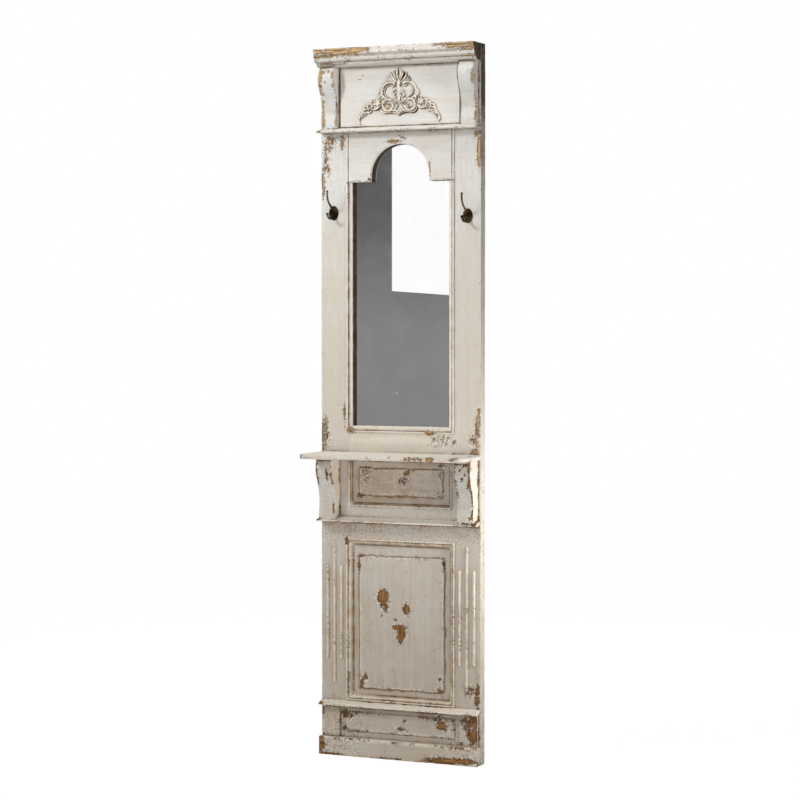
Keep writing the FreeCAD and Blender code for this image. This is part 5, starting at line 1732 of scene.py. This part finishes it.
@dataclass
class CoatHooks:
    """Two cast double hooks with shell plates and their screws."""

    x: float = 206.0
    heights: dict[Side, float] = field(default_factory=lambda: {Side.LEFT: 1541.0, Side.RIGHT: 1526.0})
    half_width: float = 15.0
    half_height: float = 20.5
    thickness: float = 5.0
    screw_offset: float = 8.5

    def plate(self, x: float, z: float) -> Surface:
        """Oval boss: a dome with a rolled rim and shallow ribs that run out from its middle.

        Args:
            x: Place across.
            z: Place up.

        Returns:
            The closed surface.
        """
        share = np.concatenate([np.linspace(0.0, 0.96, 22), [0.985, 1.0, 1.0]])
        turn = np.linspace(0.0, 2 * math.pi, 72, endpoint=False)
        ring, angle = np.meshgrid(share, turn, indexing="ij")
        dome = 1.0 - 0.62 * ring ** 2
        rib = 0.1 * np.cos(12 * angle) * ramp(ring, 0.25, 0.5) * ramp(-ring, -0.9, -0.75)
        rim = 0.2 * np.exp(-((ring - 0.9) / 0.06) ** 2)
        rise = self.thickness * np.clip(0.8 * (dome + rib) + rim, 0.0, 1.0)
        rise = rise * np.sqrt(np.clip(1.0 - ring ** 16, 0.0, 1.0))
        surface = loft(placed(
            x + self.half_width * ring * np.cos(angle), BODY + rise,
            z + self.half_height * ring * np.sin(angle)))
        surface.caps = surface.caps[1:]
        return surface

    def arm(self, x: float, z: float, rise: float, run: float, angle: float, bend: float, end: float,
            radius: float, knob: float) -> Surface:
        """Round arm: straight out of the plate, then a bend upwards that swells into a knob.

        Args:
            x: Place across.
            z: Height of the plate.
            rise: Start over the plate's middle.
            run: Length of the straight part.
            angle: Its slope in degrees.
            bend: Radius of the bend.
            end: Slope at the end in degrees.
            radius: Radius of the bar.
            knob: Radius of the knob.

        Returns:
            The closed surface.
        """
        first, last = math.radians(angle), math.radians(end)
        straight = np.linspace(0.0, run, 14)[:-1, None] * np.array([[math.cos(first), math.sin(first)]])
        turn = np.linspace(first, last, 40)[:, None]
        curve = bend * np.hstack([np.sin(turn) - math.sin(first), math.cos(first) - np.cos(turn)])
        curve = curve + run * np.array([math.cos(first), math.sin(first)])
        heading = np.array([math.cos(last), math.sin(last)])
        tip = curve[-1] + np.linspace(0.0, 1.0, 9)[1:, None] * heading * knob * 0.985
        line = np.vstack([straight, curve, tip]) + np.array([self.thickness / 2, rise])
        length = np.concatenate([[0.0], np.cumsum(np.linalg.norm(np.diff(line, axis=0), axis=1))])
        centre = length[len(straight) + len(curve) - 1]
        ball = np.sqrt(np.clip(knob ** 2 - (length - centre) ** 2, 0.05, None))
        bar = radius * (1.0 + 0.55 * np.exp(-length / 6.0)) * np.interp(length, [0.0, centre], [1.12, 0.86])
        radii = np.where(length > centre, ball, np.maximum(bar, ball))
        path = placed(x, BODY + line[:, 0], z + line[:, 1])
        return tube(path, radii, np.array([1.0, 0.0, 0.0]), 16)

    def build(self, finishes: Finishes) -> None:
        """Builds and dresses the hooks and their screws.

        Args:
            finishes: Materials of the mirror.
        """
        pieces, heads = [], []
        for side in Side:
            x, z = side.value * self.x, self.heights[side]
            surface = Surface.joined([
                self.plate(x, z),
                self.arm(x, z, rise=8.0, run=28.0, angle=32.0, bend=36.0, end=100.0, radius=2.8, knob=3.4),
                self.arm(x, z, rise=-6.0, run=16.0, angle=-30.0, bend=17.0, end=75.0, radius=3.2, knob=4.2),
            ])
            pieces.append((f"coat_hook_{side.word}", surface))
            heads += [screw_head(x + step, z, seat=BODY + 4.6, radius=3.4, height=1.6)
                      for step in (-self.screw_offset, self.screw_offset)]
        for name, surface in pieces + [("hook_screws", Surface.joined(heads))]:
            Piece(surface, [name], "antique_bronze", dent=0.0, chips=()).make(finishes.bronze)


@dataclass
class MirrorBack:
    """Glass, backing, clips, hangers and rings, kept from the CAD in their real finishes."""

    def build(self, finishes: Finishes) -> None:
        """Dresses the kept CAD nodes.

        Args:
            finishes: Materials of the mirror.
        """
        materials = {"mirror_glass": finishes.mirror, "mirror_backing": finishes.hardboard}
        materials |= dict.fromkeys((
            "mirror_clips", "mirror_clip_screws", "shelf_screws", "hanger_screws", "hanger_strap_left",
            "hanger_strap_right", "hanger_ring_left", "hanger_ring_right"), finishes.zinc)
        for name, material in materials.items():
            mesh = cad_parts[name].data
            mesh.materials.clear()
            mesh.materials.append(material)
            LOG.info("%s: CAD node in %s", name, material.name)


# Studio

@dataclass
class Studio:
    """Floor, background, lamps, reflected cards and camera."""

    place: tuple[float, float, float] = (2.7014, -5.9429, 1.2355)
    turn: float = 24.556
    tilt: float = -1.952
    lens: float = 104.27
    sensor: float = 36.0
    floor: str = "#F2F1EF"
    card: str = "#858585"
    glass_out: float = 0.013

    def build(self) -> None:
        """Sets up the whole stage."""
        bpy.context.scene.view_settings.view_transform = "Standard"
        self.camera()
        self.world()
        self.ground()
        self.cards()
        # The key stands high on the left; the others lift the shadows of the front, the right side, the
        # panel under the shelf, the back and the lower right edge
        self.lamp("key_softbox", (-1.9, -2.6, 3.2), (0.0, 0.0, 1.2), size=0.7, power=77.0)
        self.lamp("top_softbox", (-0.5, -1.3, 4.2), (0.0, 0.0, 0.9), size=1.2, power=32.0)
        self.lamp("front_fill", (0.2, -5.5, 1.2), (0.0, 0.0, 0.9), size=2.4, power=44.0)
        self.lamp("right_fill", (2.6, -0.9, 1.95), (-0.2, -0.05, 1.87), size=0.4, power=1.1, spread=40.0)
        self.lamp("shelf_fill", (0.25, -3.0, 0.35), (0.0, -0.03, 0.74), size=0.3, power=0.15, spread=16.0)
        self.lamp("back_fill", (-0.3, 2.8, 1.9), (0.0, 0.0, 1.0), size=1.6, power=44.0)
        self.lamp("low_right_softbox", (0.95, -0.12, 0.62), (0.24, 0.0, 0.62),
                  size=0.5, power=4.2, spread=115.0)

    @property
    def aim(self) -> tuple[float, float, float]:
        """Turns of the camera about X, Y and Z."""
        return math.radians(90.0 + self.tilt), 0.0, math.radians(self.turn)

    def camera(self) -> None:
        """Camera at the photograph's place, tilted down a little to the middle of the panel."""
        data = bpy.data.cameras.new("camera")
        data.sensor_width, data.lens = self.sensor, self.lens
        made = bpy.data.objects.new("camera", data)
        made.location = self.place
        made.rotation_euler = self.aim
        bpy.context.scene.collection.objects.link(made)
        bpy.context.scene.camera = made

    @staticmethod
    def seen(tree: bpy.types.NodeTree) -> bpy.types.NodeSocket:
        """Tells rays that look from rays that light.

        Args:
            tree: Node tree of the world or of a material.

        Returns:
            1 for rays from the camera, in reflections and through glass, else 0.
        """
        path = node(tree, "LightPath").outputs
        seen = path["Is Camera Ray"]
        for kind in ("Is Glossy Ray", "Is Transmission Ray"):
            seen = node(tree, "Math", {0: seen, 1: path[kind]}, operation="MAXIMUM").outputs[0]
        return seen

    def world(self) -> None:
        """White to the eye and in reflections, dimmer as light on the object."""
        world = bpy.data.worlds.new("studio")
        bpy.context.scene.world = world
        world.use_nodes = True
        tree = world.node_tree
        tree.nodes.clear()
        seen = self.seen(tree)
        across = node(tree, "SeparateXYZ", {0: node(tree, "TexCoord").outputs["Generated"]}).outputs["X"]
        soft = node(tree, "MapRange", {0: across, 1: -0.6, 2: 0.1, 3: 0.32, 4: 0.0}).outputs[0]
        strength = node(tree, "Math", {0: seen, 1: soft}, operation="MAXIMUM").outputs[0]
        light = node(tree, "Background", {"Color": (1.0, 1.0, 1.0, 1.0), "Strength": strength}).outputs[0]
        node(tree, "OutputWorld", {"Surface": light})

    def ground(self) -> None:
        """Pale floor that looks nearly white and still takes the object's shadow."""
        mesh = bpy.data.meshes.new("studio_floor")
        corners = ((-1, -1), (1, -1), (1, 1), (-1, 1))
        mesh.from_pydata([(9 * x, 9 * y, -0.001) for x, y in corners], [], [(0, 1, 2, 3)])
        material, tree = empty_material("studio_floor")
        share = node(tree, "Math", {0: self.seen(tree), 1: 0.97}, operation="MULTIPLY").outputs[0]
        matt = node(tree, "BsdfDiffuse", {"Color": linear(self.floor)}).outputs[0]
        white = node(tree, "Emission", {"Color": (1.0, 1.0, 1.0, 1.0), "Strength": 1.02}).outputs[0]
        shader = node(tree, "MixShader", {0: share, 1: matt, 2: white}).outputs[0]
        node(tree, "OutputMaterial", {"Surface": shader})
        mesh.materials.append(material)
        made = bpy.data.objects.new("studio_floor", mesh)
        bpy.context.scene.collection.objects.link(made)

    def in_mirror(self, across: float, down: float, distance: float) -> tuple[float, float, float]:
        """Place that the glass shows at a spot of the picture.

        Args:
            across: Pixels from the picture's left edge.
            down: Pixels from its top edge.
            distance: How far the place is from the glass, along the reflected ray.

        Returns:
            The place in metres.
        """
        turned = Euler(self.aim).to_matrix()
        scale = self.sensor / self.lens
        u, v = (across / PICTURE - 0.5) * scale, (0.5 - down / PICTURE) * scale
        ray = (turned @ Vector((u, v, -1.0))).normalized()
        start = Vector(self.place)
        hit = start + ray * ((-self.glass_out - start.y) / ray.y)
        return tuple(hit + Vector((ray.x, -ray.y, ray.z)) * distance)

    def cards(self) -> None:
        """Grey card that the glass shows, with one corner open to the white background."""
        corners = [(300, 60), (392, 60), (392, 291), (470, 296.5), (470, 470), (300, 470)]
        mesh = bpy.data.meshes.new("grey_card")
        places = [self.in_mirror(*corner, 3.0) for corner in corners]
        mesh.from_pydata(places, [], [tuple(range(len(places)))])
        material, tree = empty_material("grey_card")
        place = node(tree, "TexCoord").outputs["Object"]
        height = node(tree, "SeparateXYZ", {0: place}).outputs["Z"]
        level = node(tree, "MapRange", {0: height, 1: 1.72, 2: 1.2, 3: 0.42, 4: 0.95}).outputs[0]
        grey = node(tree, "Emission", {"Color": linear(self.card), "Strength": level}).outputs[0]
        node(tree, "OutputMaterial", {"Surface": grey})
        mesh.materials.append(material)
        made = bpy.data.objects.new("grey_card", mesh)
        made.visible_camera = made.visible_diffuse = made.visible_shadow = made.visible_transmission = False
        bpy.context.scene.collection.objects.link(made)

    @staticmethod
    def lamp(name: str, place: tuple[float, float, float], aim: tuple[float, float, float],
             size: float, power: float, spread: float = 180.0) -> None:
        """Square softbox.

        Args:
            name: Name of the lamp.
            place: Where it stands.
            aim: Where it points.
            size: Side of the square.
            power: Power in watts.
            spread: Opening angle of its beam in degrees.
        """
        data = bpy.data.lights.new(name, "AREA")
        data.energy, data.size, data.spread = power, size, math.radians(spread)
        made = bpy.data.objects.new(name, data)
        made.location = place
        made.rotation_euler = (Vector(aim) - Vector(place)).to_track_quat("-Z", "Y").to_euler()
        made.visible_glossy = False
        bpy.context.scene.collection.objects.link(made)


def main() -> None:
    """Builds the mirror's pieces in order and sets the stage."""
    logging.basicConfig(level=logging.INFO, format="%(name)s %(message)s")
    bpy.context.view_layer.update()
    finishes = Finishes.mixed()
    for part in (FaceFrame, Mouldings, Panels, Crown, Corbels, Reeds, Ornament, CoatHooks, MirrorBack):
        LOG.info("building %s", part.__name__)
        part().build(finishes)
    Studio().build()


if __name__ == "__main__":
    main()
